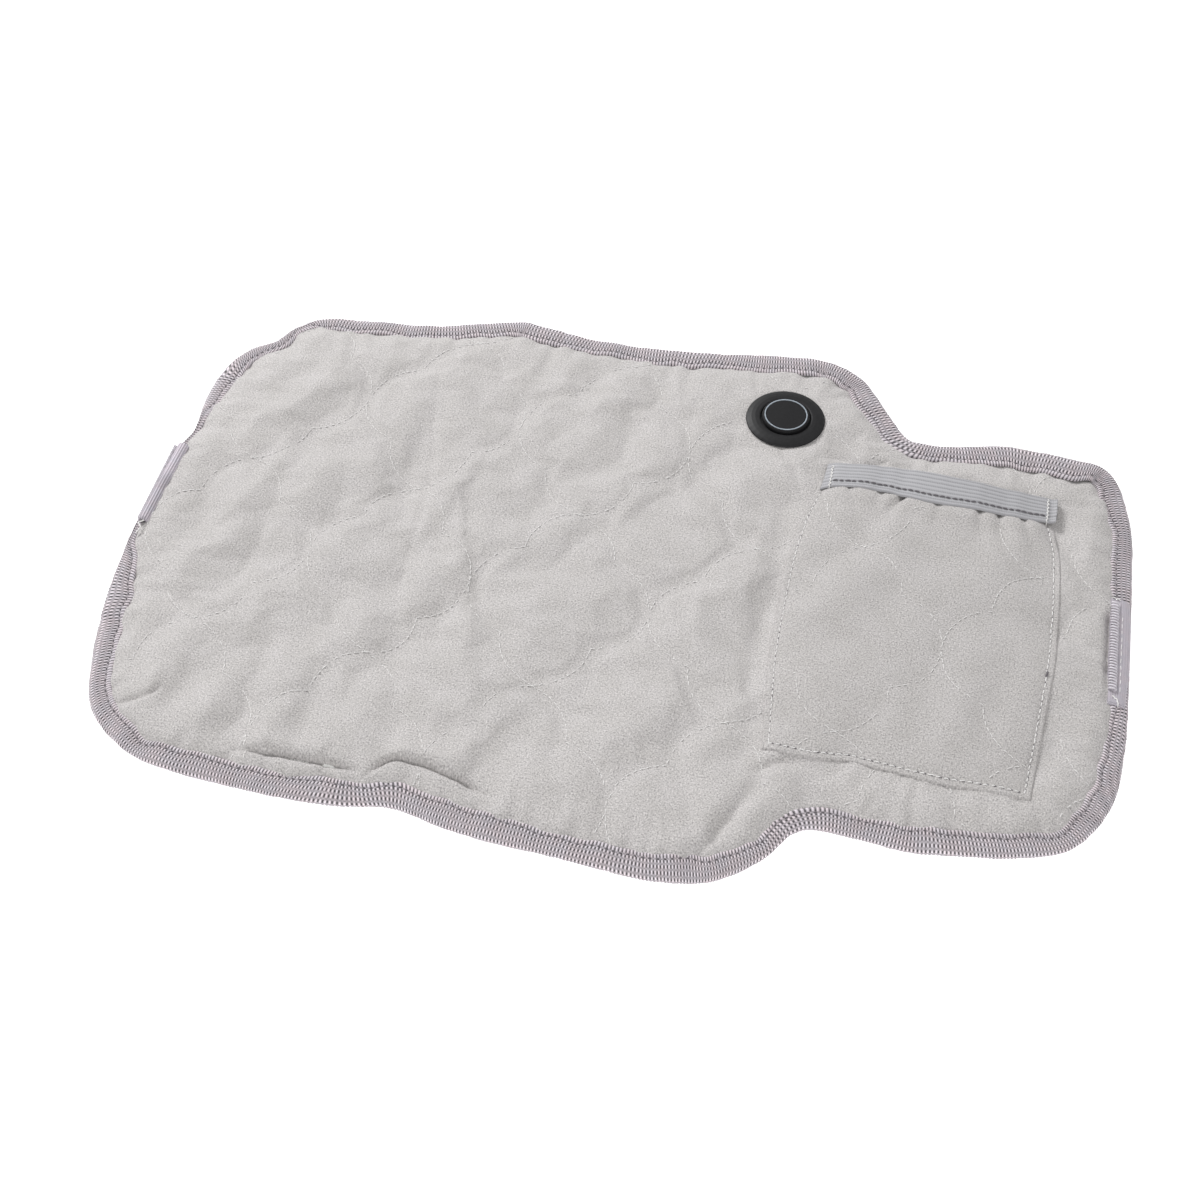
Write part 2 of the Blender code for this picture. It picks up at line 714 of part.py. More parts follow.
def main():
    clear_scene()
    materials = make_materials()
    make_layers(materials)
    make_wires(materials)
    make_base(materials)
    make_glands(materials)
    make_bezel(materials)
    make_board(materials)
    make_switch(materials)
    make_button(materials)
    make_pocket(materials)
    make_zip("right", ZIP_RIGHT, materials)
    make_zip("left", ZIP_LEFT, materials)
    pieces = bpy.context.scene.collection.objects
    left_half = [piece for piece in pieces if piece.name.endswith("_left") and piece.name != "led_left"]
    hang_on("pad_fold_axis", (FOLD_X, 0.0, 0.0), left_half)


main()
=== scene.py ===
"""The finished look of the quilted heating pad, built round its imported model.

Shapes are worked out in millimetres, and make_piece() turns them into metres.
"""

import math

import bmesh
import bpy
import numpy as np
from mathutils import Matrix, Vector, geometry
from mathutils.bvhtree import BVHTree
from mathutils.kdtree import KDTree


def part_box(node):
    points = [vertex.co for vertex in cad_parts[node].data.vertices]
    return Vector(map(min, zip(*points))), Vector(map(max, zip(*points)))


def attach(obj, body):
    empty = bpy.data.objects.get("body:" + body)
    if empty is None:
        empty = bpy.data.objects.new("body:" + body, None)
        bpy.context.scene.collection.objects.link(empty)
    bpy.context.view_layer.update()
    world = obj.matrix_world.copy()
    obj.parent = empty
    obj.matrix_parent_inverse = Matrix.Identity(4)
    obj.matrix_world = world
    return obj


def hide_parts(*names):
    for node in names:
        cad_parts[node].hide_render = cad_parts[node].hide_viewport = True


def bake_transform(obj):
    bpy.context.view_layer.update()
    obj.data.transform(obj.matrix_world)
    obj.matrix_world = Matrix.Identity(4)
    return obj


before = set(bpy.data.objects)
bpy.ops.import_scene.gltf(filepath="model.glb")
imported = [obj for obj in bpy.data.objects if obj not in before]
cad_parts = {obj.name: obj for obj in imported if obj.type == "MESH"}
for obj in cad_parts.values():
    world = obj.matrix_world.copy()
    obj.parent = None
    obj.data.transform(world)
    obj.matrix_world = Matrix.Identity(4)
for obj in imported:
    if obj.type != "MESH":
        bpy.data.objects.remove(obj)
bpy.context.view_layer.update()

MM = 0.001


def middle_of(node):
    low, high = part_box(node)
    return np.array((low + high) / 2) / MM


# ---- driving dimensions, in mm

FOLD_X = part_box("top_cover_right")[0].x / MM
FOLD_REACH = 30.0  # cuts are made this far to each side of the fold
BUTTON = middle_of("controller_bezel")
FLANGE_RADIUS = (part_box("controller_bezel")[1].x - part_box("controller_bezel")[0].x) / 2 / MM
COVER_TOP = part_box("top_cover_right")[1].z / MM
RIB = 1.65  # pitch of the ribs across the binding
ELASTIC_PITCH = 2.1  # of the lines along the elastic
UNDER_WIDTH = 10.5  # of the binding, under the pad

# The edge of the pad as it lies, clockwise from the upper left, as (x, y, width of the binding on top).
# It is soft, so its sides wander, and the cover bulges over the binding beside the left zip.
EDGE = [
    (-202, 147, 11), (-171, 151, 13), (-138, 155, 13), (-108, 162, 13.5), (-90, 166, 14), (-78, 164, 14),
    (-46, 160, 13), (-14, 160, 14), (17, 162, 14), (47, 167, 15), (77, 169, 15), (88, 167, 14),
    (102, 160, 15), (111, 148, 14.5), (122, 132, 13.5), (131, 121, 13), (142, 119, 14), (154, 119, 14),
    (183, 123, 16), (211, 121, 16.5), (236, 115, 14), (247, 85, 12), (249, 48, 11), (249, 11, 10),
    (249, -25, 9), (248, -58, 10.5), (243, -89, 12), (227, -114, 10), (203, -124, 11), (180, -128, 11.5),
    (156, -131, 11.7), (132, -129, 11.5), (108, -130, 9), (93, -149, 9.5), (73, -164, 12), (48, -169, 12.5),
    (24, -168, 11.5), (0, -166, 11), (-25, -165, 12.5), (-49, -162, 13), (-74, -157, 11.5), (-99, -161, 12),
    (-124, -162, 12), (-150, -161, 11.6), (-176, -159, 11), (-202, -153, 11), (-227, -134, 11.2),
    (-238, -106, 12.5), (-245, -74, 13.5), (-248, -46, 10), (-248.5, -30, 4), (-248.5, -7, 3.5),
    (-246.5, 28, 3.5), (-243, 50, 4), (-245.6, 68, 9), (-245, 87, 12), (-241.8, 102, 12.5), (-236, 113.5, 12),
    (-231, 118, 10.5), (-223.5, 123, 9.5), (-214.5, 136, 6.0),
]

# Where the edge lies off the ground, as (x, y, height, half length).
LIFTS = [(-80, 164, 2.5, 35), (0, 161, 2.5, 45), (70, 168, 3.0, 40), (180, 122, 4.0, 30), (222, 119, 4.0, 26)]

QUILT_CENTRE = (-21.2, -28.5)
QUILT_CELL = (43.4, 56.2)  # half the pitch, along X and Y
QUILT_DIP, QUILT_WIDTH = 0.85, 6.0  # depth and half width of the valley along the stitches
# How far the cloth has been pulled from its even pattern, as (x, y, pull along X, pull along Y).
QUILT_PULLS = [
    (-165, -118, 3, 7), (-215, -58, -3.5, 10), (-165, -42, -3, 5.5), (-180, 20, -9, 4), (-100, -98, 0, 6),
    (-64, -31, -7, 0.5), (-30, 42, -10, -0.5), (5, -5, -5, 1), (-30, -73, -6, 3.5), (23, 30, -1.5, -6),
    (-120, 60, -6, 2), (60, -60, 0, 0), (150, -20, 0, 0),
]
PULL_REACH = 40.0
POCKET_QUILT_CENTRE = (115.8, -24.6)

# The pocket as it lies. Its sides run up from the bottom, and its bottom and mouth from left to right.
POCKET_LEFT = [(84.3, -95.6), (82, -71), (79.4, -40), (79.1, -4), (79.6, 21), (82.9, 50), (87.7, 70.3)]
POCKET_RIGHT = [(206, -98), (208, -77), (211, -44), (213.2, -10), (213.3, 20), (211.7, 50), (207.6, 70.5)]
POCKET_BOTTOM = [(84.3, -95.6), (107, -96.5), (124, -94.1), (138, -95.4), (165, -98), (206, -98)]
MOUTH_LOW = [
    (87.7, 70.3), (105, 70.3), (122, 69.6), (132, 68), (147, 66.1), (167, 66.7), (191, 68.3), (207.6, 70.5),
]
MOUTH_HIGH = [(91, 86.6), (103, 85.4), (129, 85.4), (168, 83.4), (208.8, 85.8)]
# The tucks that the elastic gathers, as (x, depth, half width, slant).
TUCKS = [
    (104, 1.9, 2.6, 0.3), (120, 1.6, 2.0, -0.1), (131.5, 4.0, 2.4, -0.45), (149, 1.5, 2.2, 0.05),
    (170, 2.2, 2.2, 0.1), (180, 2.6, 2.4, 0.2), (192, 2.6, 2.2, 0.3),
]

# Heights of the small waves: those that run any way, those across one direction, those along the edge.
EVEN_WAVES, DRAPE_WAVES, EDGE_WAVES = 0.30, 0.75, 1.3
DRAPE_WAY = -0.41  # that direction, in radians from X

# Broad folds that the pad keeps, as (route, height, half width). A valley has a negative height.
FOLDS = [
    ([(-122, 100), (-118, 52), (-112, -8), (-103, -57), (-92, -82), (-77, -106)], -2.0, 10),
    ([(-88, 92), (-94, 41), (-97, 12), (-82, -8), (-72, -37), (-60, -72), (-48, -116)], 1.8, 7),
    ([(-216, 50), (-218, 20), (-222, -38)], -2.4, 9),
    ([(-181, 10), (-183, -18), (-187, -47), (-192, -66)], -2.6, 8),
    ([(-186, 60), (-190, 27), (-199, 2), (-211, -22)], 2.6, 7),
    ([(-207, 0), (-212, -35)], -1.4, 6),
    ([(-231, -44), (-215, -71)], -1.7, 6),
    ([(-186, -78), (-190, -140)], -1.9, 7),
    ([(-154, -80), (-156, -144)], -2.0, 7),
    ([(-122, -84), (-126, -140)], -1.9, 7),
    ([(-170, -100), (-172, -140)], 1.8, 7),
    ([(-138, -96), (-140, -138)], 1.8, 7),
    ([(-205, -116), (-197, -113)], 2.0, 7),
    ([(-70, -128), (-40, -134)], 2.0, 8),
    ([(-46, 95), (-23, 115)], 1.2, 6),
    ([(62, -156), (69, -148), (76, -134), (83, -121), (92, -108)], -2.6, 5),
    ([(80, -112), (92, -101), (106, -99)], -1.6, 4),
    ([(82, -140), (94, -122), (108, -112)], 1.2, 8),
    ([(76, 84), (74, 20), (76, -60), (80, -92)], -2.2, 8),
    ([(40, -20), (62, 10), (74, 40)], 1.0, 9),
    ([(-20, 30), (6, 54), (20, 76)], 1.0, 9),
    ([(-66, -16), (-36, 16), (-20, 24)], 0.9, 8),
    ([(10, -110), (40, -84), (58, -62)], 1.1, 9),
    ([(-40, -60), (-18, -92), (-8, -130)], -0.9, 9),
    ([(-160, 60), (-150, 20), (-152, -20)], -0.9, 10),
]

# Sharp creases, given the same way.
CREASES = [
    ([(-127, 125), (-119, 82), (-110, 44), (-106, 0), (-105, -30), (-100, -55), (-88, -82)], -1.0, 2.6),
    ([(-95, 37), (-84, 6), (-73, -23), (-59, -71)], 0.7, 3.0),
    ([(-97, 116), (-50, 118), (1, 120)], 0.6, 2.4),
    ([(-153, -145), (-140, -143.3), (-120, -143.4), (-107, -143), (-94, -144), (-91, -147)], -3.2, 1.3),
    ([(-90, -147), (-86, -141), (-79, -135), (-66, -135), (-55, -138), (-42, -141), (-31, -145)], -3.4, 1.3),
    ([(-216, -131), (-206, -127.5), (-199, -123), (-196, -117)], -1.8, 1.6),
    ([(-150, -139), (-130, -138), (-105, -138)], 1.2, 3.6),
    ([(-84, -133), (-74, -130), (-60, -131), (-45, -136)], 1.4, 3.6),
    ([(110, 90), (117, 94), (122, 99)], -1.6, 3.0),
    ([(88, 92), (100, 93), (112, 90)], -1.0, 3.0),
    ([(62, -158), (69, -148), (76, -134), (83, -121)], -1.2, 2.2),
    ([(84, -108), (92, -101.5), (103, -99.5)], -0.8, 2.2),
    ([(237.8, 29), (237.6, 0), (237.8, -30)], -1.8, 1.4),
    ([(-183, -30), (-186, -50)], -0.6, 2.4),
    ([(-230, -44), (-216, -68)], -0.7, 2.4),
    ([(60, 96), (72, 84), (80, 66)], -0.6, 2.4),
    ([(86, -104), (98, -98)], -0.8, 2.4),
]


# ---- lines


def smooth_line(points, step, closed=False):
    """A smooth curve through the points, resampled at even steps."""
    points = np.array(points, float)
    count = len(points)
    if closed:
        padded = np.vstack([points[-1:], points, points[:2]])
        spans = count
    else:
        padded = np.vstack([2 * points[0] - points[1], points, 2 * points[-1] - points[-2]])
        spans = count - 1
    t = np.linspace(0, 1, 24, endpoint=False)[:, None]
    parts = []
    for i in range(spans):
        p0, p1, p2, p3 = padded[i : i + 4]
        second = 2 * p0 - 5 * p1 + 4 * p2 - p3
        third = 3 * p1 - p0 - 3 * p2 + p3
        parts.append(0.5 * (2 * p1 + (p2 - p0) * t + second * t**2 + third * t**3))
    line = np.vstack(parts + [points[:1] if closed else points[-1:]])
    return even_steps(line, step, closed)


def even_steps(line, step, closed=False):
    """The line resampled at even steps. A closed one comes with its first point repeated at its end."""
    gaps = np.linalg.norm(np.diff(line[:, :2], axis=0), axis=1)
    along = np.concatenate([[0], np.cumsum(gaps)])
    count = max(2, int(round(along[-1] / step)) + (0 if closed else 1))
    places = np.linspace(0, along[-1], count, endpoint=not closed)
    return np.column_stack([np.interp(places, along, line[:, k]) for k in range(line.shape[1])])


def normals_of(line, closed=False):
    """Unit vectors to the left of the line's way, in the XY plane."""
    if closed:
        way = np.roll(line, -1, 0)[:, :2] - np.roll(line, 1, 0)[:, :2]
    else:
        way = np.gradient(line[:, :2], axis=0)
    way /= np.linalg.norm(way, axis=1)[:, None] + 1e-12
    return np.column_stack([-way[:, 1], way[:, 0]])


def nearest(points, line):
    """Distance from each point to the line's samples, and the nearest sample's index."""
    tree = KDTree(len(line))
    for index, (x, y) in enumerate(line[:, :2].tolist()):
        tree.insert((x, y, 0), index)
    tree.balance()
    found = [tree.find((x, y, 0))[1:] for x, y in points[:, :2].tolist()]
    return np.array([distance for _, distance in found]), np.array([index for index, _ in found])


def smoothstep(value, low, high):
    """0 at low and 1 at high, with a smooth rise between them."""
    t = np.clip((value - low) / (high - low), 0, 1)
    return t * t * (3 - 2 * t)


def hill(distance, width):
    """1 at no distance, falling smoothly to nothing beyond about twice the width."""
    return np.exp(-((distance / width) ** 2))


def away(points, place):
    """How far points are from a place, in the XY plane."""
    return np.hypot(points[:, 0] - place[0], points[:, 1] - place[1])


def waves(along, seed, longest, shortest, count=9):
    """A smooth wandering value of about -1 to 1 along a line, the same on each run."""
    source = np.random.RandomState(seed)
    total = np.zeros(len(along))
    for length in np.geomspace(longest, shortest, count):
        phase = source.uniform(0, 2 * np.pi)
        total += np.sin(2 * np.pi * along / length + phase) * source.uniform(0.5, 1)
    return total / math.sqrt(count)


def ripples(points, seed, longest, shortest, count=24, way=0.0, spread=math.pi / 2):
    """The same over a surface. The waves run across way, in radians from X, give or take the spread."""
    source = np.random.RandomState(seed)
    total = np.zeros(len(points))
    for length in np.geomspace(longest, shortest, count):
        angle = way + source.uniform(-spread, spread)
        across = points[:, 0] * math.cos(angle) + points[:, 1] * math.sin(angle)
        total += np.sin(2 * np.pi * across / length + source.uniform(0, 2 * np.pi))
    return total / math.sqrt(count)


# The edge runs anticlockwise from here on, so that the pad lies to the left of it. Its third column is
# the binding's width, and edge_lift is how far it stands off the ground.
EDGE_STEP = 1.0
LIFT_REACH = 24.0  # into the pad
edge_line = smooth_line(EDGE[::-1], EDGE_STEP, closed=True)
edge_inward = normals_of(edge_line, closed=True)
for _ in range(12):
    edge_inward = (np.roll(edge_inward, 1, 0) + edge_inward * 2 + np.roll(edge_inward, -1, 0)) / 4
edge_inward /= np.linalg.norm(edge_inward, axis=1)[:, None]
edge_lift = np.zeros(len(edge_line))
for x, y, height, reach in LIFTS:
    edge_lift += height * hill(away(edge_line, (x, y)), reach)


def inset_line(inset, step):
    """The edge moved inwards, in even steps."""
    line = edge_line[:, :2] + edge_inward * inset
    return even_steps(np.vstack([line, line[:1]]), step, closed=True)


def inside(points, line):
    """Which points lie within a closed line."""
    crossings = np.zeros(len(points), int)
    ends = np.roll(line, -1, 0)
    for (x1, y1), (x2, y2) in zip(line[:, :2], ends[:, :2]):
        if y1 == y2:
            continue
        spans = (points[:, 1] > min(y1, y2)) & (points[:, 1] <= max(y1, y2))
        x = x1 + (points[:, 1] - y1) * (x2 - x1) / (y2 - y1)
        crossings += spans & (points[:, 0] < x)
    return crossings % 2 == 1


# ---- quilting pattern


def scallop(start, end, centre, bulge=0.17, steps=14):
    """An arc between two points that bows away from the centre."""
    start, end, centre = (np.array(p, float) for p in (start, end, centre))
    chord = end - start
    side = np.array([chord[1], -chord[0]])
    if side @ (start + chord / 2 - centre) < 0:
        side = -side
    t = np.linspace(0, 1, steps)[:, None]
    return start + chord * t + side * bulge * 4 * t * (1 - t)


def quilt_lines(centre, cell, low, high):
    """Round cells in rows, each side of a cell being two scallops with a notch between them."""
    a, b = cell
    lines = []
    for i in range(-5, 6):
        for j in range(-3, 4):
            x, y = centre[0] + 2 * a * i, centre[1] + 2 * b * j
            if not (low[0] - a < x < high[0] + a and low[1] - b < y < high[1] + b):
                continue
            for sx, sy in ((1, 1), (1, -1), (-1, -1), (-1, 1)):
                notch = (x + sx * a / 2, y + sy * b / 2)
                lines.append(scallop((x, y + sy * b), notch, (x, y)))
                lines.append(scallop(notch, (x + sx * a, y), (x, y)))
    return lines


def pulled(points):
    """The points of the even pattern, moved as the cloth has been pulled."""
    moved = np.array(points, float)
    weights = np.full(len(points), 0.05)
    total = np.zeros((len(points), 2))
    for x, y, along_x, along_y in QUILT_PULLS:
        weight = hill(away(points, (x, y)), PULL_REACH)
        total += weight[:, None] * np.array([along_x, along_y])
        weights += weight
    moved[:, :2] += total / weights[:, None]
    return moved


def parts_within(line, keep):
    """The runs of a line's points for which keep is true."""
    runs = []
    current = []
    for point, kept in zip(line, keep):
        if kept:
            current.append(point)
        elif current:
            runs.append(np.array(current))
            current = []
    if current:
        runs.append(np.array(current))
    return [run for run in runs if len(run) > 1]


# ---- the pad's surface

COVER_EDGE_INSET = 3.0
COVER_EDGE_Z = 4.6


def pocket_outline():
    """The pocket's sides and bottom, and its elastic, as one closed line."""
    sides = [POCKET_BOTTOM, POCKET_RIGHT[1:], MOUTH_HIGH[::-1], POCKET_LEFT[::-1][:-1]]
    return even_steps(np.array([point for side in sides for point in side], float), 1.0)


pocket_line = pocket_outline()
pad_quilting = []
for curve in quilt_lines(QUILT_CENTRE, QUILT_CELL, (-250, -170), (250, 172)):
    curve = even_steps(pulled(curve), 0.8)
    depth, index = nearest(curve, edge_line)
    kept = inside(curve, edge_line) & (depth > edge_line[index, 2] + 0.5)
    kept &= away(curve, BUTTON) > FLANGE_RADIUS + 7
    kept &= ~inside(curve, pocket_line)
    pad_quilting += parts_within(curve, kept)
quilting_samples = np.vstack(pad_quilting)


def fold_height(points, folds):
    """The height that folds add, fading towards each one's ends."""
    total = np.zeros(len(points))
    for route, height, width in folds:
        line = smooth_line(route, 1.0)
        low, high = line.min(0) - 3 * width, line.max(0) + 3 * width
        near = np.flatnonzero(((points[:, :2] > low) & (points[:, :2] < high)).all(1))
        if not len(near):
            continue
        distance, index = nearest(points[near], line)
        ends = np.minimum(index, len(line) - 1 - index) / (0.25 * len(line))
        total[near] += height * hill(distance, width) * (0.2 + 0.8 * smoothstep(ends, 0, 1))
    return total


def pad_height(points):
    """How high the top cover lies, before it is relaxed."""
    inset, index = nearest(points, edge_line)
    deep = np.maximum(inset - edge_line[index, 2] + 2.8, 0)
    rise = 1 - np.exp(-deep / 9.0)
    height = COVER_EDGE_Z + (COVER_TOP - COVER_EDGE_Z - 0.3) * rise
    quilted = nearest(points, quilting_samples)[0]
    height -= QUILT_DIP * rise * hill(quilted, QUILT_WIDTH)
    height += EVEN_WAVES * rise * ripples(points, 5, 75, 26)
    height += DRAPE_WAVES * rise * ripples(points, 8, 85, 26, way=DRAPE_WAY, spread=0.35)
    gathered = np.exp(-deep / 8.0) * np.clip(deep / 2.5, 0, 1)
    height += EDGE_WAVES * gathered * waves(index * EDGE_STEP, 3, 34, 9)
    height += rise * fold_height(points, FOLDS)
    height += edge_lift[index] * hill(inset, LIFT_REACH)
    near_button = smoothstep(away(points, BUTTON), FLANGE_RADIUS + 12, FLANGE_RADIUS - 1)
    return height * (1 - near_button) + (COVER_TOP + 0.1) * near_button


# ---- meshes


def make_piece(name, points, faces, material, smooth=True, uv=None):
    """A mesh object from points in mm. uv gives each point's place on the flat cloth, in mm."""
    mesh = bpy.data.meshes.new(name)
    points = np.asarray(points, float) * MM
    mesh.from_pydata(points.tolist(), [], [list(map(int, face)) for face in faces])
    if uv is not None:
        layer = mesh.uv_layers.new(name="cloth")
        corners = np.empty(len(mesh.loops), int)
        mesh.loops.foreach_get("vertex_index", corners)
        layer.data.foreach_set("uv", (np.asarray(uv, float)[corners] * MM).ravel())
    if smooth:
        mesh.shade_smooth()
    mesh.update()
    piece = bpy.data.objects.new(name, mesh)
    mesh.materials.append(material)
    bpy.context.scene.collection.objects.link(piece)
    return piece


def drop_faces(mesh, gone):
    """Removes the faces for whose middle, in metres, gone is true."""
    shape = bmesh.new()
    shape.from_mesh(mesh)
    faces = [face for face in shape.faces if gone(face.calc_center_median())]
    bmesh.ops.delete(shape, geom=faces, context="FACES")
    shape.to_mesh(mesh)
    shape.free()


def grid_faces(rows, columns, wrap_rows=False, wrap_columns=False):
    """Quads over a grid of points stored row by row."""
    r = np.arange(rows if wrap_rows else rows - 1)
    c = np.arange(columns if wrap_columns else columns - 1)
    r, c = (g.ravel() for g in np.meshgrid(r, c, indexing="ij"))
    r2, c2 = (r + 1) % rows, (c + 1) % columns
    return np.column_stack([r * columns + c, r * columns + c2, r2 * columns + c2, r2 * columns + c])


def filled(ring, spacing, extra=()):
    """Points and triangles that fill a closed line evenly, with the extra points among them."""
    low, high = ring.min(0), ring.max(0)
    rows = []
    for number, y in enumerate(np.arange(low[1], high[1], spacing * math.sqrt(0.75))):
        x = np.arange(low[0] + (number % 2) * spacing / 2, high[0], spacing)
        rows.append(np.column_stack([x, np.full(len(x), y)]))
    lattice = np.vstack(rows)
    lattice = lattice[inside(lattice, ring)]
    lattice = lattice[nearest(lattice, ring)[0] > spacing * 0.55]
    if len(extra):
        lattice = lattice[nearest(lattice, extra)[0] > spacing * 0.6]
        lattice = np.vstack([extra, lattice])
    points = np.vstack([ring[:, :2], lattice])
    loop = list(range(len(ring)))
    made = geometry.delaunay_2d_cdt([Vector(p) for p in points.tolist()], [], [loop], 1, 1e-4)
    flat = np.array([tuple(p) for p in made[0]])
    return flat, made[2]


def thinned(samples, spacing):
    """The samples with none nearer to a kept one than the spacing."""
    kept = []
    cells = {}
    for x, y in samples[:, :2]:
        cell = (int(x // spacing), int(y // spacing))
        around = [cells.get((cell[0] + i, cell[1] + j)) for i in (-1, 0, 1) for j in (-1, 0, 1)]
        if any(p is not None and math.hypot(p[0] - x, p[1] - y) < spacing * 0.8 for p in around):
            continue
        cells.setdefault(cell, (x, y))
        kept.append((x, y))
    return np.array(kept)


# ---- materials


def new_material(name, colour, roughness, metallic=0.0, sheen=0.0, specular=0.5):
    """A Principled material, its node tree and its shader."""
    material = bpy.data.materials.new(name)
    material.use_nodes = True
    shader = material.node_tree.nodes["Principled BSDF"]
    shader.inputs["Base Color"].default_value = (*colour, 1.0)
    shader.inputs["Roughness"].default_value = roughness
    shader.inputs["Metallic"].default_value = metallic
    shader.inputs["Sheen Weight"].default_value = sheen
    shader.inputs["Specular IOR Level"].default_value = specular
    return material, material.node_tree, shader


def scaled(colour, factor):
    return tuple(min(1.0, c * factor) for c in colour)


def feed(tree, socket, value):
    """Links a socket to another one, or sets it to a plain value."""
    if isinstance(value, bpy.types.NodeSocket):
        tree.links.new(value, socket)
    else:
        socket.default_value = value


def cloth_place(tree):
    """The place on the flat cloth, in metres, and its parts along and across the cloth."""
    place = tree.nodes.new("ShaderNodeUVMap")
    place.uv_map = "cloth"
    parts = tree.nodes.new("ShaderNodeSeparateXYZ")
    tree.links.new(place.outputs["UV"], parts.inputs[0])
    return place.outputs["UV"], parts.outputs[0], parts.outputs[1]


def noise(tree, place, scale, detail=2.0, roughness=0.5):
    texture = tree.nodes.new("ShaderNodeTexNoise")
    tree.links.new(place, texture.inputs["Vector"])
    texture.inputs["Scale"].default_value = scale
    texture.inputs["Detail"].default_value = detail
    texture.inputs["Roughness"].default_value = roughness
    return texture.outputs["Fac"]


def ramp(tree, value, stops):
    """A colour ramp with stops of (place, colour)."""
    node = tree.nodes.new("ShaderNodeValToRGB")
    while len(node.color_ramp.elements) < len(stops):
        node.color_ramp.elements.new(0.5)
    for element, (place, colour) in zip(node.color_ramp.elements, stops):
        element.position = place
        element.color = (*colour, 1.0)
    tree.links.new(value, node.inputs["Fac"])
    return node.outputs["Color"]


def shades_of(tree, value, colour, stops):
    """A ramp between shades of one colour, with stops of (place, factor)."""
    return ramp(tree, value, [(place, scaled(colour, factor)) for place, factor in stops])


def multiplied(tree, first, second):
    """One colour multiplied by another."""
    node = tree.nodes.new("ShaderNodeMix")
    node.data_type = "RGBA"
    node.blend_type = "MULTIPLY"
    for socket, value in ((0, 1.0), (6, first), (7, second)):
        feed(tree, node.inputs[socket], value)
    return node.outputs[2]


def combine(tree, operation, first, second=0.0):
    node = tree.nodes.new("ShaderNodeMath")
    node.operation = operation
    for socket, value in zip(node.inputs, (first, second)):
        feed(tree, socket, value)
    return node.outputs[0]


def weighted(tree, start, *terms):
    """The start, with each value of (value, weight) added to it."""
    for value, weight in terms:
        start = combine(tree, "ADD", start, combine(tree, "MULTIPLY", value, weight))
    return start


def sine(tree, value, pitch):
    return combine(tree, "SINE", combine(tree, "MULTIPLY", value, 2 * math.pi / pitch))


def finish(tree, shader, colour, height, depth, strength=1.0):
    """Gives the shader its colour, and a bump of a depth in metres."""
    bump = tree.nodes.new("ShaderNodeBump")
    bump.inputs["Distance"].default_value = depth
    bump.inputs["Strength"].default_value = strength
    tree.links.new(height, bump.inputs["Height"])
    tree.links.new(bump.outputs["Normal"], shader.inputs["Normal"])
    tree.links.new(colour, shader.inputs["Base Color"])


def suede(name, colour):
    """Brushed cloth: a fine grain, with soft patches where the nap lies another way."""
    material, tree, shader = new_material(name, colour, 0.95, sheen=0.15)
    shader.inputs["Sheen Roughness"].default_value = 0.6
    place = cloth_place(tree)[0]
    grain = noise(tree, place, 1300, 3.0, 0.7)
    patches = noise(tree, place, 70, 5.0, 0.65)
    nap = noise(tree, place, 1000, 4.0, 0.7)
    fine = shades_of(tree, grain, colour, [(0.37, 0.56), (0.47, 0.95), (0.55, 1.05), (0.66, 1.42)])
    worn = ramp(tree, patches, [(0.36, (0.93, 0.93, 0.92)), (0.64, WHITE)])
    finish(tree, shader, multiplied(tree, fine, worn), nap, 0.0006, 0.7)
    return material


def woven_tape(name, colour, rib, row, contrast=1.0, strip=0.0):
    """Woven tape: beads in staggered rows, and ribs in the strip beside its first edge.

    rib and row are the pitches along and across it, and strip is that strip's width, all in metres.
    """
    material, tree, shader = new_material(name, colour, 0.85, sheen=0.1)
    place, along, across = cloth_place(tree)
    ribs = sine(tree, along, rib)
    beads = combine(tree, "MULTIPLY", ribs, sine(tree, across, 2 * row))
    in_strip = combine(tree, "LESS_THAN", across, strip)
    rib_share = weighted(tree, 0.14, (in_strip, 0.07))
    bead_share = weighted(tree, 0.16, (in_strip, -0.10))
    fuzz = noise(tree, place, 1700)
    weave = weighted(tree, 0.35, (ribs, rib_share), (beads, bead_share), (in_strip, 0.06), (fuzz, 0.3))
    stops = [(0.30, 1 - 0.84 * contrast), (0.49, 1 - 0.15 * contrast), (0.66, 1 + 0.95 * contrast)]
    shades = shades_of(tree, weave, colour, stops)
    patchy = noise(tree, place, 140)
    tint = ramp(tree, patchy, [(0.4, (0.87, 0.848, 0.857)), (0.6, (0.835, 0.848, 0.87))])
    # Painted light: the tape is lighter towards its outer edge and underside, the side turned away from the
    # key light.
    painted_light_outer_side = ramp(tree, combine(tree, "MULTIPLY", across, 50), [(0.36, (0.98,) * 3), (0.64, (1.24,) * 3)])
    shades = multiplied(tree, shades, multiplied(tree, tint, painted_light_outer_side))
    finish(tree, shader, shades, weave, 0.0005, 0.9)
    return material


def ribbed_elastic(name, colour, pitch, loop=0.0009):
    """Elastic: fine lines along the band, each between two rows of small loops."""
    material, tree, shader = new_material(name, colour, 0.8, sheen=0.1)
    place, along, across = cloth_place(tree)
    rows = sine(tree, across, pitch)
    loops = sine(tree, along, loop)
    weave = weighted(tree, 0.45, (rows, 0.28), (loops, 0.07), (noise(tree, place, 1500), 0.16))
    shades = shades_of(tree, weave, colour, [(0.25, 0.70), (0.38, 0.98), (0.85, 1.08)])
    finish(tree, shader, shades, weave, 0.0004, 0.8)
    return material


def plain_surface(name, colour, roughness, grain=600, metallic=0.0, specular=0.5):
    """Plastic, rubber or metal with a fine uneven surface, in the object's own space."""
    material, tree, shader = new_material(name, colour, roughness, metallic, specular=specular)
    speckle = noise(tree, tree.nodes.new("ShaderNodeTexCoord").outputs["Object"], grain, 3.0)
    shades = shades_of(tree, speckle, colour, [(0.35, 0.88), (0.65, 1.12)])
    finish(tree, shader, shades, speckle, 0.00004)
    return material


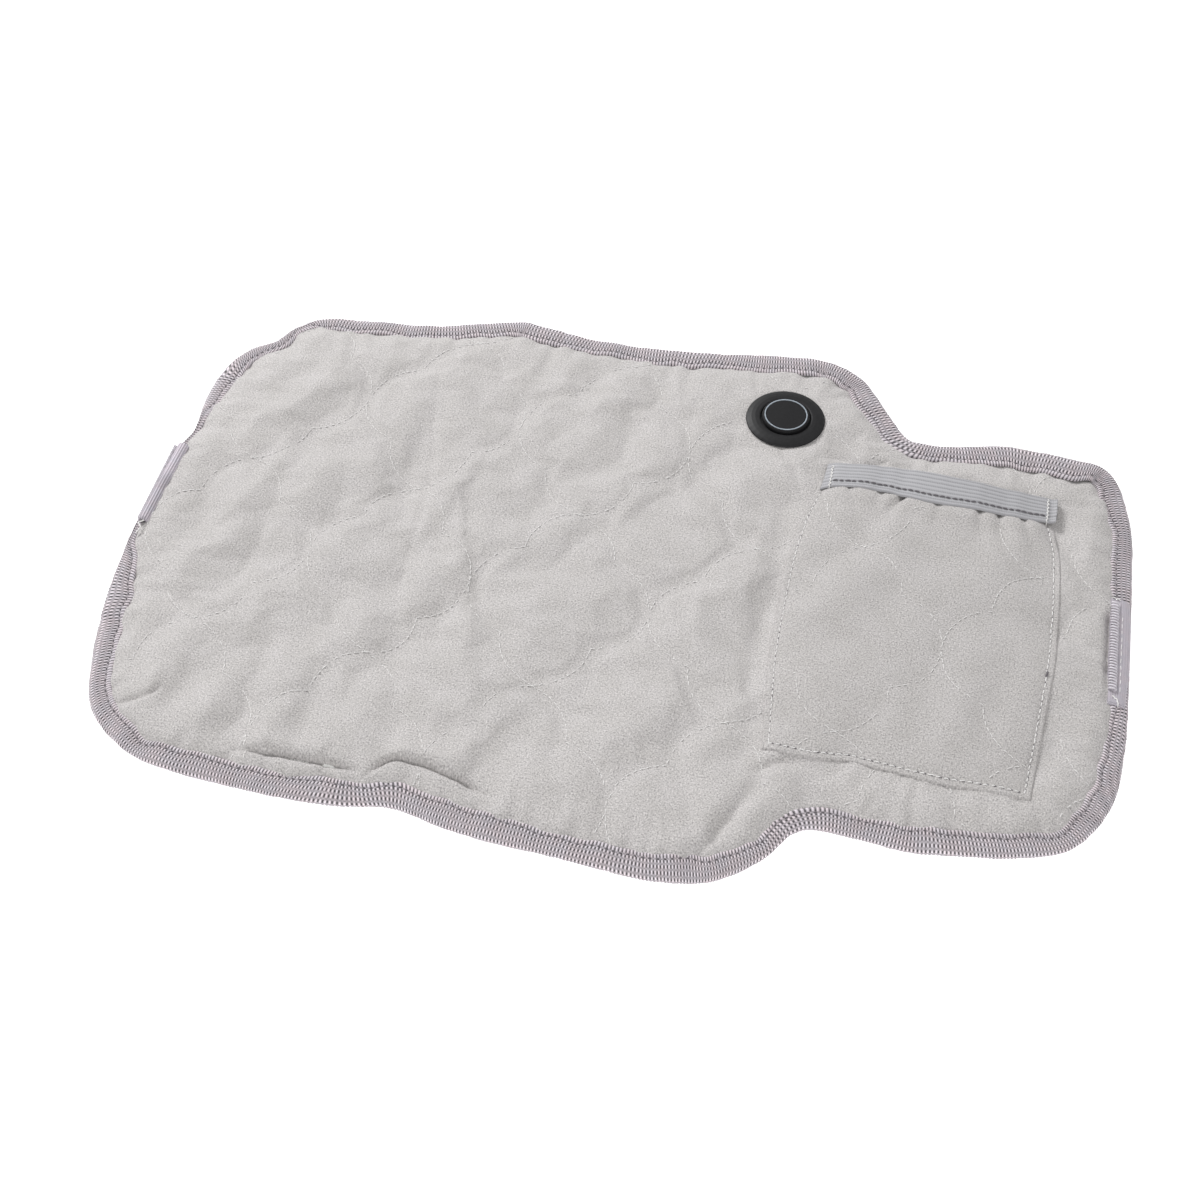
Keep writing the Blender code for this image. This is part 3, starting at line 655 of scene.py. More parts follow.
WHITE = (1.0, 1.0, 1.0)
COVER_COLOUR = (0.467, 0.448, 0.443)
POCKET_COLOUR = (0.433, 0.415, 0.410)
TAPE_COLOUR = (0.375, 0.342, 0.358)

materials = {
    "cover": suede("suede_cover", COVER_COLOUR),
    "pocket": suede("suede_pocket", POCKET_COLOUR),
    "lining": suede("suede_lining", COVER_COLOUR),
    "binding": woven_tape("ribbed_binding", TAPE_COLOUR, RIB * MM, 0.0012, strip=0.0036),
    "elastic": ribbed_elastic("elastic_weave", (0.345, 0.343, 0.359), ELASTIC_PITCH * MM),
    "zip": woven_tape("zip_tape_weave", (0.49, 0.455, 0.495), 0.0006, 0.0006, 0.3),
    "coil": plain_surface("nylon_coil", (0.56, 0.53, 0.57), 0.35),
    "thread": plain_surface("white_thread", (0.70, 0.69, 0.68), 0.7, 3000),
    # Dark thread, also used as painted shade in stitch holes.
    "dark_thread_and_hole_shade": plain_surface("grey_thread_and_hole_shade", (0.12, 0.11, 0.12), 0.8, 3000),
    "shell": plain_surface("black_shell", (0.012, 0.012, 0.013), 0.5, specular=0.22),
    "cap": plain_surface("black_rubber", (0.008, 0.008, 0.009), 0.6, specular=0.2),
    "light": plain_surface("light_guide", (0.29, 0.325, 0.365), 0.35),
    "board": plain_surface("green_board", (0.03, 0.16, 0.06), 0.45),
    "steel": plain_surface("plated_steel", (0.55, 0.55, 0.56), 0.35, metallic=1.0),
    "wire": plain_surface("silicone_wire", (0.5, 0.1, 0.07), 0.5),
    "lead": plain_surface("lead_jacket", (0.03, 0.03, 0.03), 0.5),
    "wadding": plain_surface("wadding_fibre", (0.8, 0.8, 0.78), 1.0, 500),
}


# ---- baking pieces in place


def bend(piece):
    """Bakes the piece's place into its mesh, and returns the piece."""
    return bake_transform(piece)


def bent_copy(name, nodes, material):
    """One piece out of a layer's CAD nodes, cut finely near the fold."""
    shape = bmesh.new()
    for node in nodes:
        shape.from_mesh(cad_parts[node].data)
    for x in np.arange(FOLD_X - FOLD_REACH, FOLD_X + FOLD_REACH + 1, 5):
        geom = shape.verts[:] + shape.edges[:] + shape.faces[:]
        bmesh.ops.bisect_plane(shape, geom=geom, plane_co=(x * MM, 0, 0), plane_no=(1, 0, 0))
    mesh = bpy.data.meshes.new(name)
    shape.to_mesh(mesh)
    shape.free()
    mesh.shade_smooth()
    mesh.set_sharp_from_angle(angle=math.radians(40))
    mesh.materials.clear()
    mesh.materials.append(material)
    piece = bpy.data.objects.new(name, mesh)
    bpy.context.scene.collection.objects.link(piece)
    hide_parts(*nodes)
    return bend(piece)


# ---- top cover

CLOTH_SPACING = 3.0
CREASE_ROWS = (-1.3, 0, 1.3)  # from a crease's line, so that the mesh can follow it
CLOTH = {
    "quality": 5, "mass": 0.02, "tension_stiffness": 8, "compression_stiffness": 8, "shear_stiffness": 4,
    "bending_stiffness": 0.03, "air_damping": 2.0, "shrink_min": -0.01, "use_pressure": True,
    "uniform_pressure_force": 1.0,
}
CLOTH_FRAMES = 16
CLOTH_MOST = 3.0


def crease_points(others):
    """The others, with rows of points along the sharp creases."""
    rows = []
    for route, _, _ in CREASES:
        line = smooth_line(route, 1.6)
        rows += [line[1:-1] + normals_of(line)[1:-1] * offset for offset in CREASE_ROWS]
    along = np.vstack(rows)
    depth = nearest(along, edge_line)[0]
    along = along[inside(along, edge_line) & (depth > COVER_EDGE_INSET + 2)]
    return np.vstack([along, others[nearest(others, along)[0] > 1.0]])


stitch_points = thinned(quilting_samples, CLOTH_SPACING)
cover_ring = inset_line(COVER_EDGE_INSET, CLOTH_SPACING)
cover_flat, cover_faces = filled(cover_ring, CLOTH_SPACING, crease_points(stitch_points))
cover_points = np.column_stack([cover_flat, pad_height(cover_flat)])


def relax(piece, held, frames, most):
    """Lets the cloth settle from its drawn shape, held at some points, while the padding swells.

    No point moves further than most, in mm.
    """
    drawn = points_of(piece)
    group = piece.vertex_groups.new(name="held")
    group.add([int(i) for i in np.flatnonzero(held)], 1.0, "REPLACE")
    modifier = piece.modifiers.new("Cloth", "CLOTH")
    cloth = modifier.settings
    for setting, value in CLOTH.items():
        setattr(cloth, setting, value)
    cloth.vertex_group_mass = "held"
    cloth.effector_weights.gravity = 0.0
    modifier.collision_settings.use_collision = False
    modifier.point_cache.frame_start = 1
    modifier.point_cache.frame_end = frames
    scene = bpy.context.scene
    for number in range(1, frames + 1):
        scene.frame_set(number)
    graph = bpy.context.evaluated_depsgraph_get()
    settled = np.array([v.co for v in piece.evaluated_get(graph).data.vertices]) / MM
    piece.modifiers.clear()
    piece.vertex_groups.clear()
    scene.frame_set(1)
    moved = settled - drawn
    length = np.linalg.norm(moved, axis=1)
    moved *= np.minimum(1, most / np.maximum(length, 1e-6))[:, None]
    set_points(piece, drawn + moved)


def subdivide(piece):
    """Each face becomes four, smoothly."""
    modifier = piece.modifiers.new("Subdivision", "SUBSURF")
    modifier.levels = modifier.render_levels = 1
    graph = bpy.context.evaluated_depsgraph_get()
    mesh = bpy.data.meshes.new_from_object(piece.evaluated_get(graph))
    piece.modifiers.clear()
    piece.data = mesh


def points_of(piece):
    points = np.empty(len(piece.data.vertices) * 3)
    piece.data.vertices.foreach_get("co", points)
    return points.reshape(-1, 3) / MM


def set_points(piece, points):
    piece.data.vertices.foreach_set("co", (points * MM).ravel())
    piece.data.update()


def make_cover():
    cover = make_piece("top_cover", cover_points, cover_faces, materials["cover"], uv=cover_flat)
    to_edge = nearest(cover_flat, cover_ring)[0]
    to_stitch = nearest(cover_flat, stitch_points)[0]
    held = (to_edge < 3.5) | (to_stitch < 0.1) | (away(cover_flat, BUTTON) < FLANGE_RADIUS)
    relax(cover, held, CLOTH_FRAMES, CLOTH_MOST)
    subdivide(cover)
    points = points_of(cover)
    to_stitch = nearest(points, quilting_samples)[0]
    points[:, 2] -= 0.15 * hill(to_stitch, 1.2)
    points[:, 2] += fold_height(points, CREASES)
    set_points(cover, points)
    middle, hole = Vector(BUTTON[:2]) * MM, (FLANGE_RADIUS - 5) * MM
    drop_faces(cover.data, lambda place: (place.xy - middle).length < hole)
    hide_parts("top_cover_right", "top_cover_left")
    return bend(cover)


def surface_of(piece):
    """A function for the height of a piece's surface at points of the XY plane, in mm."""
    mesh = piece.data
    tree = BVHTree.FromPolygons([v.co for v in mesh.vertices], [p.vertices for p in mesh.polygons])

    def height(places, missing=5.0):
        heights = []
        for x, y in np.asarray(places)[:, :2]:
            hit = tree.ray_cast(Vector((x * MM, y * MM, 0.1)), Vector((0, 0, -1)))[0]
            heights.append(missing if hit is None else hit.z / MM)
        return np.array(heights)

    return height


# ---- inner layers and back lining

WADDING_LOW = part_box("wadding_right")[0].z / MM
WADDING_GAP = 1.6  # under the cover
LAYER_INSET = 17.0
LAYER_SPACING = 6.0
CARRIER_GAP = 0.4  # above the lining
CARRIER_THICK = (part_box("heater_carrier_right")[1].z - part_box("heater_carrier_right")[0].z) / MM
LINING_Z = 0.3
LINING_DIP = 0.9


def make_layer(name, low_and_top, *nodes):
    """A closed layer inside the pad, between the heights that low_and_top gives for its points."""
    ring = inset_line(LAYER_INSET, LAYER_SPACING)
    flat, faces = filled(ring, LAYER_SPACING)
    low, top = low_and_top(flat)
    count = len(flat)
    points = np.vstack([np.column_stack([flat, top]), np.column_stack([flat, low])])
    faces = [list(face) for face in faces]
    low_faces = [[i + count for i in face[::-1]] for face in faces]
    loop = list(range(len(ring)))
    wall = [[i, i + count, j + count, j] for i, j in zip(loop, loop[1:] + loop[:1])]
    layer = make_piece(name, points, faces + low_faces + wall, materials["wadding"], smooth=False)
    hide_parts(*nodes)
    return layer


def make_wadding(cover_height):
    """The batting between the cover and the heater, under the cover's own puffs."""

    def heights(flat):
        around = [cover_height(flat + np.array([x, y])) for x in (-4, 0, 4) for y in (-4, 0, 4)]
        top = np.maximum(np.min(around, axis=0) - WADDING_GAP, WADDING_LOW + 0.4)
        near_button = away(flat, BUTTON) < FLANGE_RADIUS + 6
        top[near_button] = np.minimum(top[near_button], WADDING_LOW + 1.5)
        return np.full(len(flat), WADDING_LOW), top

    wadding = make_layer("wadding", heights, "wadding_right", "wadding_left")
    return bend(wadding)


def make_heater_carrier():
    """The thin felt under the heating wire, which follows the back lining."""

    def heights(flat):
        low = lining_height(flat) + CARRIER_GAP
        return low, low + CARRIER_THICK

    return bend(make_layer("heater_carrier", heights, "heater_carrier_right", "heater_carrier_left"))


def lining_height(points):
    """The back lining lies on the ground, and lifts along the quilting and towards the edge."""
    inset, index = nearest(points, edge_line)
    quilted = nearest(points, quilting_samples)[0]
    height = LINING_Z + LINING_DIP * hill(quilted, 5.0)
    height += 0.9 * smoothstep(inset, UNDER_WIDTH + 2.5, UNDER_WIDTH - 1.0)
    within = smoothstep(inset, UNDER_WIDTH, UNDER_WIDTH + 10)
    height += 0.12 * (1 + ripples(points, 9, 60, 18)) * within
    return height + edge_lift[index] * hill(inset, LIFT_REACH)


def make_lining():
    """The single sheet on the pad's underside."""
    flat, faces = filled(inset_line(4.0, 4.0), 4.0, thinned(quilting_samples, 4.0))
    points = np.column_stack([flat, lining_height(flat)])
    faces = [list(face)[::-1] for face in faces]
    lining = make_piece("back_lining", points, faces, materials["lining"], uv=flat)
    subdivide(lining)
    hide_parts("back_lining_right", "back_lining_left")
    return bend(lining)


# ---- stitches


def thread_tube(line, radius, sides=6):
    """Points and faces of a thread that dives into the cloth at both ends. line is in mm."""
    ways = np.gradient(line, axis=0)
    ways /= np.linalg.norm(ways, axis=1)[:, None]
    up = np.array([0.0, 0.0, 1.0])
    left = np.cross(up, ways)
    left /= np.linalg.norm(left, axis=1)[:, None] + 1e-9
    over = np.cross(ways, left)
    angles = 2 * np.pi * np.arange(sides) / sides
    cosines, sines = np.cos(angles)[None, :, None], np.sin(angles)[None, :, None]
    ring = cosines * left[:, None] + sines * over[:, None]
    points = (line[:, None] + ring * radius).reshape(-1, 3)
    faces = grid_faces(len(line), sides, wrap_columns=True).tolist()
    faces.append(list(range(sides)))
    faces.append([len(points) - 1 - i for i in range(sides)])
    return points, faces


def joined(meshes):
    """Several (points, faces) as one."""
    points, faces, count = [], [], 0
    for more_points, more_faces in meshes:
        points.append(more_points)
        faces += [[i + count for i in face] for face in more_faces]
        count += len(more_points)
    return np.vstack(points), faces


STITCH_ARCH = np.array([-0.6, 0.4, 0.9, 0.9, 0.4, -0.6])
STITCH_WANDER = 0.15  # how far the stitches stray from even ones


def sew(name, routes, height, thread, length=2.4, gap=1.2, radius=0.24, lift=0.14, side=1, sunk=0.0):
    """Running stitches along routes in the XY plane, laid on a surface, as one mesh.

    side is -1 on an underside, and sunk is the share of the stitches that lies hidden in the nap.
    """
    stitches = []
    source = np.random.RandomState(len(name))
    for route in routes:
        total = np.linalg.norm(np.diff(route[:, :2], axis=0), axis=1).sum()
        if total < length:
            continue
        fine = even_steps(route[:, :2], 0.2)
        step = total / (len(fine) - 1)
        for start in np.arange(0, total - length, length + gap):
            if source.uniform() < sunk:
                continue
            reach = length * (1 + STITCH_WANDER * source.uniform(-1.2, 0.8))
            picks = (start + np.linspace(0, reach, len(STITCH_ARCH))) / step
            spots = fine[np.clip(picks.astype(int), 0, len(fine) - 1)]
            stray = source.uniform(-STITCH_WANDER, STITCH_WANDER, (2, 2))
            spots = spots + np.linspace(*stray, len(spots))
            line = np.column_stack([spots, height(spots) + side * (STITCH_ARCH * radius + lift)])
            stitches.append(thread_tube(line, radius))
    return make_piece(name, *joined(stitches), materials[thread])


# ---- binding

BINDING_STEP = RIB / 4
STITCH_INSET = 3.0  # from the binding's inner edge
TWIST = 1.2  # slant of the ribs where the tape turns over at the upper left
TWIST_AT = (-234, 115)
TWIST_REACH = 24
SLANT = 0.3  # of the ribs elsewhere, which wanders


def binding_places():
    """At each row of the binding's mesh: place, way inwards, width, lift, and length along the edge."""
    whole = np.column_stack([edge_line, edge_inward, edge_lift])
    rows = even_steps(np.vstack([whole, whole[:1]]), BINDING_STEP, closed=True)
    along = np.arange(len(rows)) * BINDING_STEP
    width = rows[:, 2] + (0.35 + 0.05 * rows[:, 2]) * waves(along, 12, 70, 16)
    return rows[:, :2], rows[:, 3:5], np.clip(width, 3.0, 18), rows[:, 5], along


def binding_profile():
    """The tape round the edge, as (inset, height), from its upper inner edge to its lower one."""
    outline = [
        (11.0, 4.6), (10.9, 5.6), (10.4, 6.1), (9.2, 6.2), (8.0, 5.75), (6.8, 6.1), (4.2, 6.1), (2.0, 5.5),
        (0.6, 4.5), (0.0, 3.0), (0.5, 1.3), (2.2, 0.3), (UNDER_WIDTH - 0.6, 0.2), (UNDER_WIDTH, 0.9),
    ]
    return smooth_line(outline, 0.75)


def profile_outward(profile, outermost):
    """The way out of the tape at each point of its profile."""
    turn = np.gradient(profile, axis=0)
    turn /= np.linalg.norm(turn, axis=1)[:, None]
    outward = np.column_stack([turn[:, 1], -turn[:, 0]])
    return outward * np.sign(outward[outermost // 2, 1])


def binding_insets(profile, on_top, from_inner, width):
    """How far in each point of the binding lies, row by row.

    The stitched strip beside the inner edge keeps its width, and the rest takes up the difference.
    """
    strip = STITCH_INSET + 1.2
    keep = np.minimum(width, strip + 2) / (strip + 2)
    in_strip = width[:, None] - from_inner * keep[:, None]
    beyond = (width - strip * keep)[:, None] * (profile[:, 0] / (profile[0, 0] - strip))
    return np.where(on_top, np.where(from_inner < strip, in_strip, beyond), profile[:, 0])


def make_binding():
    """The ribbed tape round the pad's edge, and the painted shade at its stitch holes."""
    line, inward, width, lift, along = binding_places()
    profile = binding_profile()
    outermost = int(profile[:, 0].argmin())
    across = np.concatenate([[0], np.cumsum(np.linalg.norm(np.diff(profile, axis=0), axis=1))])
    outward = profile_outward(profile, outermost)
    on_top = np.arange(len(profile)) < outermost
    from_inner = np.where(on_top, profile[0, 0] - profile[:, 0], 0)
    inset = binding_insets(profile, on_top, from_inner, width)
    swell = 1 + 0.09 * waves(along, 11, 90, 18)
    height = profile[:, 1] * np.where(on_top, swell[:, None], 1)
    rib = 0.11 * np.sin(2 * np.pi * along / RIB) + 0.10 * waves(along, 13, 20, 6)
    rib = rib[:, None] * np.where(on_top, smoothstep(from_inner, 0.0, 1.0), 1)
    inset = inset + outward[:, 0] * rib
    height = np.maximum(height + outward[:, 1] * rib, 0.08) + lift[:, None]
    points = np.empty((len(line), len(profile), 3))
    points[:, :, :2] = line[:, None] + inward[:, None] * inset[:, :, None]
    points[:, :, 2] = height
    rows, columns = points.shape[:2]
    twist = TWIST * np.exp(-((away(line, TWIST_AT) / TWIST_REACH) ** 4))
    twist = twist + SLANT * waves(along, 14, 220, 70, count=4)
    slanted = along[:, None] + twist[:, None] * across
    uv = np.stack(np.broadcast_arrays(slanted, across), -1).reshape(-1, 2)
    faces = grid_faces(rows, columns, wrap_rows=True)
    binding = make_piece("edge_binding", points.reshape(-1, 3), faces, materials["binding"], uv=uv)
    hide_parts("edge_binding_right", "edge_binding_left")
    bend(binding)
    seam = line + inward * (width - STITCH_INSET)[:, None]
    routes = parts_within(seam, width > 7)
    # Painted shade: short dark threads sunk in the tape stand for the stitch holes along the seam.
    bend(sew("binding_stitches", routes, surface_of(binding), "dark_thread_and_hole_shade", 1.1, 2.2, 0.3, 0.02))


# ---- pocket

POCKET_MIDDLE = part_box("pocket_panel")[0].lerp(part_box("pocket_panel")[1], 0.5).x / MM
POCKET_SIZE = (126.0, 166.0)  # flat, below the elastic
ELASTIC_SIZE = (119.0, 15.5)  # flat
ELASTIC_SEAM = 3.2  # from its lower edge
PANEL_THICK = 1.1
PANEL_PUFF = 2.0
UNDER_ELASTIC = 6.0  # of the pocket's cloth
HEM = 3.2  # from the pocket's edge to its stitches
# The mesh's lines lie at these places beside an edge.
EDGE_PLACES = [0, 0.12, 0.4, 0.8, 1.3, 1.9, 2.5, HEM, 3.9, 4.6, 5.6, 6.8]


def edged_places(length, step, both=True):
    """Places along a length, close together beside its edges."""
    start = np.array(EDGE_PLACES)
    end = length - start[::-1] if both else np.array([length])
    middle = np.linspace(start[-1], end[0], max(2, int((end[0] - start[-1]) / step)))[1:-1]
    return np.concatenate([start, middle, end])


def patch(bottom, top, left, right, across, up):
    """Points over the area between four lines, at shares of its width and its height."""
    fine = [smooth_line(line, 0.5) for line in (bottom, top, left, right)]

    def at(line, shares):
        places = np.linspace(0, 1, len(line))
        return np.column_stack([np.interp(shares, places, line[:, k]) for k in (0, 1)])

    low, high = at(fine[0], across)[None], at(fine[1], across)[None]
    west, east = at(fine[2], up)[:, None], at(fine[3], up)[:, None]
    u, v = across[None, :, None], up[:, None, None]
    low_ends = (1 - u) * low[:, :1] + u * low[:, -1:]
    high_ends = (1 - u) * high[:, :1] + u * high[:, -1:]
    return (1 - v) * (low - low_ends) + v * (high - high_ends) + (1 - u) * west + u * east


def gathers(x, below):
    """Tucks that run down from the elastic, and the cloth that puffs between them."""
    total = 1.3 * hill(below - 5, 5)
    for place, depth, width, slant in TUCKS:
        spread = width * (0.55 + below / 16)
        total -= depth * hill(x - place - slant * below, spread) * np.exp(-below / 12)
    return total


def round_over(distance, radius):
    """How far an edge has risen at a distance in from it."""
    t = np.clip(distance / radius, 0, 1)
    return np.sqrt(1 - (1 - t) ** 2)


def opened(piece):
    """Splits a piece of the pocket down its middle into two halves."""
    halves = []
    for side, name in ((-1, "left"), (1, "right")):
        mesh = piece.data.copy()
        drop_faces(mesh, lambda place: side * (place.x - POCKET_MIDDLE * MM) < 0)
        if not mesh.polygons:
            continue
        half = bpy.data.objects.new(f"{piece.name}_{name}", mesh)
        bpy.context.scene.collection.objects.link(half)
        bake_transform(half)
        halves.append(half)
    bpy.data.objects.remove(piece)
    return halves


def smoothed(grid, passes):
    """A grid of heights with its inner points evened out."""
    for _ in range(passes):
        beside = grid[1:-1, :-2] + grid[1:-1, 2:]
        grid[1:-1, 1:-1] = (grid[:-2, 1:-1] + grid[2:, 1:-1] + beside) / 4
    return grid


def make_pocket(cover_height):
    """The pocket's cloth, its threads and the painted shade in its stitch holes."""
    width, tall = POCKET_SIZE[0], POCKET_SIZE[1] + UNDER_ELASTIC
    across = edged_places(width, 1.7) / width
    up = edged_places(tall, 1.7, both=False) / tall
    top = [(x, y + UNDER_ELASTIC) for x, y in MOUTH_LOW]
    place = patch(POCKET_BOTTOM, top, POCKET_LEFT + [top[0]], POCKET_RIGHT + [top[-1]], across, up)
    rows, columns = place.shape[:2]
    flat = place.reshape(-1, 2)
    from_side = np.tile(np.minimum(across, 1 - across) * width, rows)
    from_bottom = np.repeat(up * tall, columns)
    from_edge = np.minimum(from_side, from_bottom)
    below = np.repeat((1 - up) * tall - UNDER_ELASTIC, columns)
    under = smoothed(cover_height(flat).reshape(rows, columns), 14).ravel()
    puff = PANEL_PUFF * (1 - np.exp(-np.maximum(from_edge - HEM, 0) / 13))
    puff *= 0.55 + 0.9 * from_bottom / tall
    height = under + PANEL_THICK * round_over(from_edge, 0.9) - 0.15 + puff
    height -= 0.28 * hill(from_edge - HEM, 0.6)
    height += 0.30 * ripples(flat, 21, 60, 20) * np.clip((from_edge - HEM) / 12, 0, 1)
    tucked = np.maximum(-below, 0)
    gathered = np.clip((from_side - HEM) / 6, 0, 1) * (1 - smoothstep(tucked, 0.8, 3.5))
    height += gathers(flat[:, 0], np.maximum(below, 0)) * gathered
    height -= 0.1 * smoothstep(tucked, 0, 1.5)
    quilting = pocket_quilting(flat, from_edge)
    quilted = nearest(flat, np.vstack(quilting))[0]
    height -= 0.36 * hill(quilted, 4.5) + 0.06 * hill(quilted, 1.2)
    points = np.column_stack([flat, height])
    faces = grid_faces(rows, columns)
    panel = make_piece("pocket_panel_cloth", points, faces, materials["pocket"], uv=flat)
    panel_height = surface_of(panel)
    in_sight = below[::columns] > 0
    hem = EDGE_PLACES.index(HEM)
    sides = [place[in_sight, hem][hem:], place[in_sight, -1 - hem][hem:]]
    hems = [sides[0], place[hem, hem:-hem], sides[1]]
    holes = [line[2:] for line in hems]
    thread_end = [np.array([(208.7, -30.2), (209.1, -26.4)])]
    threads = [
        sew("pocket_edge_stitches", hems, panel_height, "thread", 2.3, 1.2, 0.27, 0.16),
        # Painted shade: short dark threads lie in the stitch holes between the white stitches.
        sew("pocket_stitch_holes", holes, panel_height, "dark_thread_and_hole_shade", 1.1, 2.4, 0.27, 0.06),
        sew("pocket_quilting_stitches", quilting, panel_height, "thread", 2.1, 1.3, 0.2, 0.1, sunk=0.2),
        sew("pocket_thread_end", thread_end, panel_height, "dark_thread_and_hole_shade", 3.4, 1.0, 0.5, 0.3),
    ]
    return panel, threads, panel_height


def pocket_quilting(flat, from_edge):
    """The quilting of the pocket's own cloth."""
    kept = []
    inner = flat[from_edge < 4.5]
    low, high = flat.min(0), flat.max(0)
    for curve in quilt_lines(POCKET_QUILT_CENTRE, QUILT_CELL, low, high):
        curve = even_steps(curve, 0.8)
        within = inside(curve, pocket_line) & (nearest(curve, inner)[0] > 1.0) & (curve[:, 1] < 62)
        kept += parts_within(curve, within)
    return kept


def make_elastic(panel_height):
    """The elastic that holds the pocket's mouth, a band folded over the cloth's edge."""
    length, depth = ELASTIC_SIZE
    across = edged_places(length, 1.6) / length
    middle_rows = np.arange(1.4, depth - 1.0, 0.55)
    up = np.concatenate([[0, 0.1, 0.35, 0.8], middle_rows, [15.0, 15.3, 15.45, 15.5]]) / depth
    low = [(x, y - 1.0) for x, y in MOUTH_LOW]
    low[0], low[-1] = (89.2, 68.4), (208.6, 70.0)
    left, right = [low[0], (90.2, 77), MOUTH_HIGH[0]], [low[-1], (208.9, 77), MOUTH_HIGH[-1]]
    place = patch(low, MOUTH_HIGH, left, right, across, up)
    rows, columns = place.shape[:2]
    flat = place.reshape(-1, 2)
    seat = panel_height(place[1] - np.array([0, 0.6]), missing=13.0).reshape(1, -1)
    for _ in range(25):
        seat[:, 1:-1] = (seat[:, :-2] + seat[:, 2:] + seat[:, 1:-1]) / 3
    from_end = np.minimum(across, 1 - across) * length
    from_low = (up * depth)[:, None]
    open_up = 1.3 * hill(across - 0.5, 0.33) * up[:, None]
    body = 1.3 * round_over(np.minimum(np.minimum(from_end, from_low), depth - from_low), 0.8)
    height = seat + open_up + body + 0.06 * np.cos(2 * np.pi * from_low / ELASTIC_PITCH)
    height += 0.25 * waves(across * length, 31, 40, 9)
    height -= 0.45 * hill(from_low - ELASTIC_SEAM, 0.7)
    back = np.column_stack([place[-1] - np.array([0, 0.4]), height[-1] - 1.6])
    points = np.vstack([np.column_stack([flat, height.ravel()]), back])
    faces = grid_faces(rows + 1, columns)
    uv = np.column_stack([points[:, 0], np.repeat(np.append(up * depth, depth + 1.6), columns)])
    elastic = make_piece("pocket_elastic_band", points, faces, materials["elastic"], uv=uv)
    height_there = surface_of(elastic)
    row = int(np.searchsorted(up, ELASTIC_SEAM / depth))
    seam = place[row, 10:-10]
    dashes = sew("elastic_seam", [seam], height_there, "dark_thread_and_hole_shade", 2.3, 0.9, 0.32, 0.12)
    zigzags = []
    for column in (EDGE_PLACES.index(4.6), -1 - EDGE_PLACES.index(4.6)):
        y = np.arange(0, depth + 1.0, 1.2)
        x = place[0, column, 0] + 0.45 * (-1.0) ** np.arange(len(y))
        zigzags.append(np.column_stack([x, place[0, column, 1] + y - 0.5]))
    bars = sew("elastic_bar_tacks", zigzags, height_there, "thread", 1.5, 0.12, 0.3, 0.16)
    return elastic, [dashes, bars]


def declare_half(half, node):
    """Hides the node that half of a stretched sheet stands for."""
    points = points_of(half) * MM
    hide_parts(node)


# ---- zips


def swept(name, line, ring, material):
    """A closed ring of (sideways, up) points, carried along a line of (x, y, z, size)."""
    points = []
    for x, y, z, size in line:
        points += [(x + sideways * size, y, z + up * size) for sideways, up in ring]
    rows, columns = len(line), len(ring)
    faces = grid_faces(rows, columns, wrap_columns=True).tolist()
    faces.append(list(range(columns)))
    faces.append([len(points) - 1 - i for i in range(columns)])
    along = np.repeat(line[:, 1], columns)
    around = np.tile(np.linspace(0, 9.6, columns), rows)
    return make_piece(name, points, faces, material, uv=np.column_stack([around, along]))


def helix(low, high, x, z, width, tall, pitch, radius, name):
    """A nylon coil along Y."""
    turns = (high - low) / pitch
    t = np.linspace(0, 2 * np.pi * turns, int(turns * 14))
    along = low + pitch * t / (2 * np.pi)
    line = np.column_stack([x + width / 2 * np.cos(t), along, z + tall / 2 * np.sin(t)])
    return make_piece(name, *thread_tube(line, radius, 5), materials["coil"])


RIGHT_ZIP_ENDS = (-34.5, 31.0)
RIGHT_ZIP_WIDTH = 10.4
LEFT_ZIP_ENDS = (-21.6, 34.1)
LEFT_ZIP_SIZE = (3.2, 3.9)  # half the roll's width and height


def make_right_zip():
    """A zip's tape folded over the pad's edge, with its coil on the inner side."""
    low, high = RIGHT_ZIP_ENDS
    y = np.linspace(low, high, 90)
    ends = round_over(np.minimum(y - low, high - y), 1.2)
    outer = np.interp(y, [low, -8, 17, high], [247.6, 249.0, 249.0, 248.2])
    inner = np.interp(y, [low, -20, high], [238.4, 238.2, 238.4])
    profile = [
        (0, 5.2), (0.05, 6.6), (0.5, 7.3), (1.2, 7.4), (4.6, 7.5), (5.4, 7.6), (7.5, 7.3), (9.2, 6.4),
        (10.2, 4.6), (RIGHT_ZIP_WIDTH, 2.8), (9.6, 1.2),
    ]
    line = smooth_line(profile, 0.45)
    share = line[:, 0] / RIGHT_ZIP_WIDTH
    x = inner[:, None] + (outer - inner)[:, None] * share
    z = line[:, 1] * (0.80 + 0.20 * ends)[:, None] + 0.10 * waves(y, 41, 30, 8)[:, None]
    slant = 0.35 * (x - 238)
    points = np.stack([x, y[:, None] - slant * 0.5 + 1.0, z], -1).reshape(-1, 3)
    uv = np.stack(np.broadcast_arrays(y[:, None], line[:, 0]), -1).reshape(-1, 2)
    faces = grid_faces(len(y), len(line))
    tape = make_piece("zip_tape_right_cloth", points, faces, materials["zip"], uv=uv)
    height = surface_of(tape)
    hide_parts("zip_tape_right")
    coil = helix(-26.5, 27.0, 240.3, 8.2, 3.4, 1.8, 1.7, 0.55, "zip_coil_right_teeth")
    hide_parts("zip_coil_right")
    seam = [np.column_stack([np.full(60, 244.0), np.linspace(19, -27, 60)])]
    threads = sew("zip_right_stitches", seam, height, "thread", 2.4, 1.9, 0.2, 0.08)
    tacks = [[(239.2, 31.0), (243.4, 29.4)], [(240.5, -29.5), (242.6, -31.5), (243.6, -34.5)]]
    tacks = [np.array(tack) for tack in tacks]
    ends_sewn = sew("zip_right_tacks", tacks, height, "thread", 1.9, 0.1, 0.3, 0.3)
    for piece in (tape, coil, threads, ends_sewn):
        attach(piece, "pad_right")


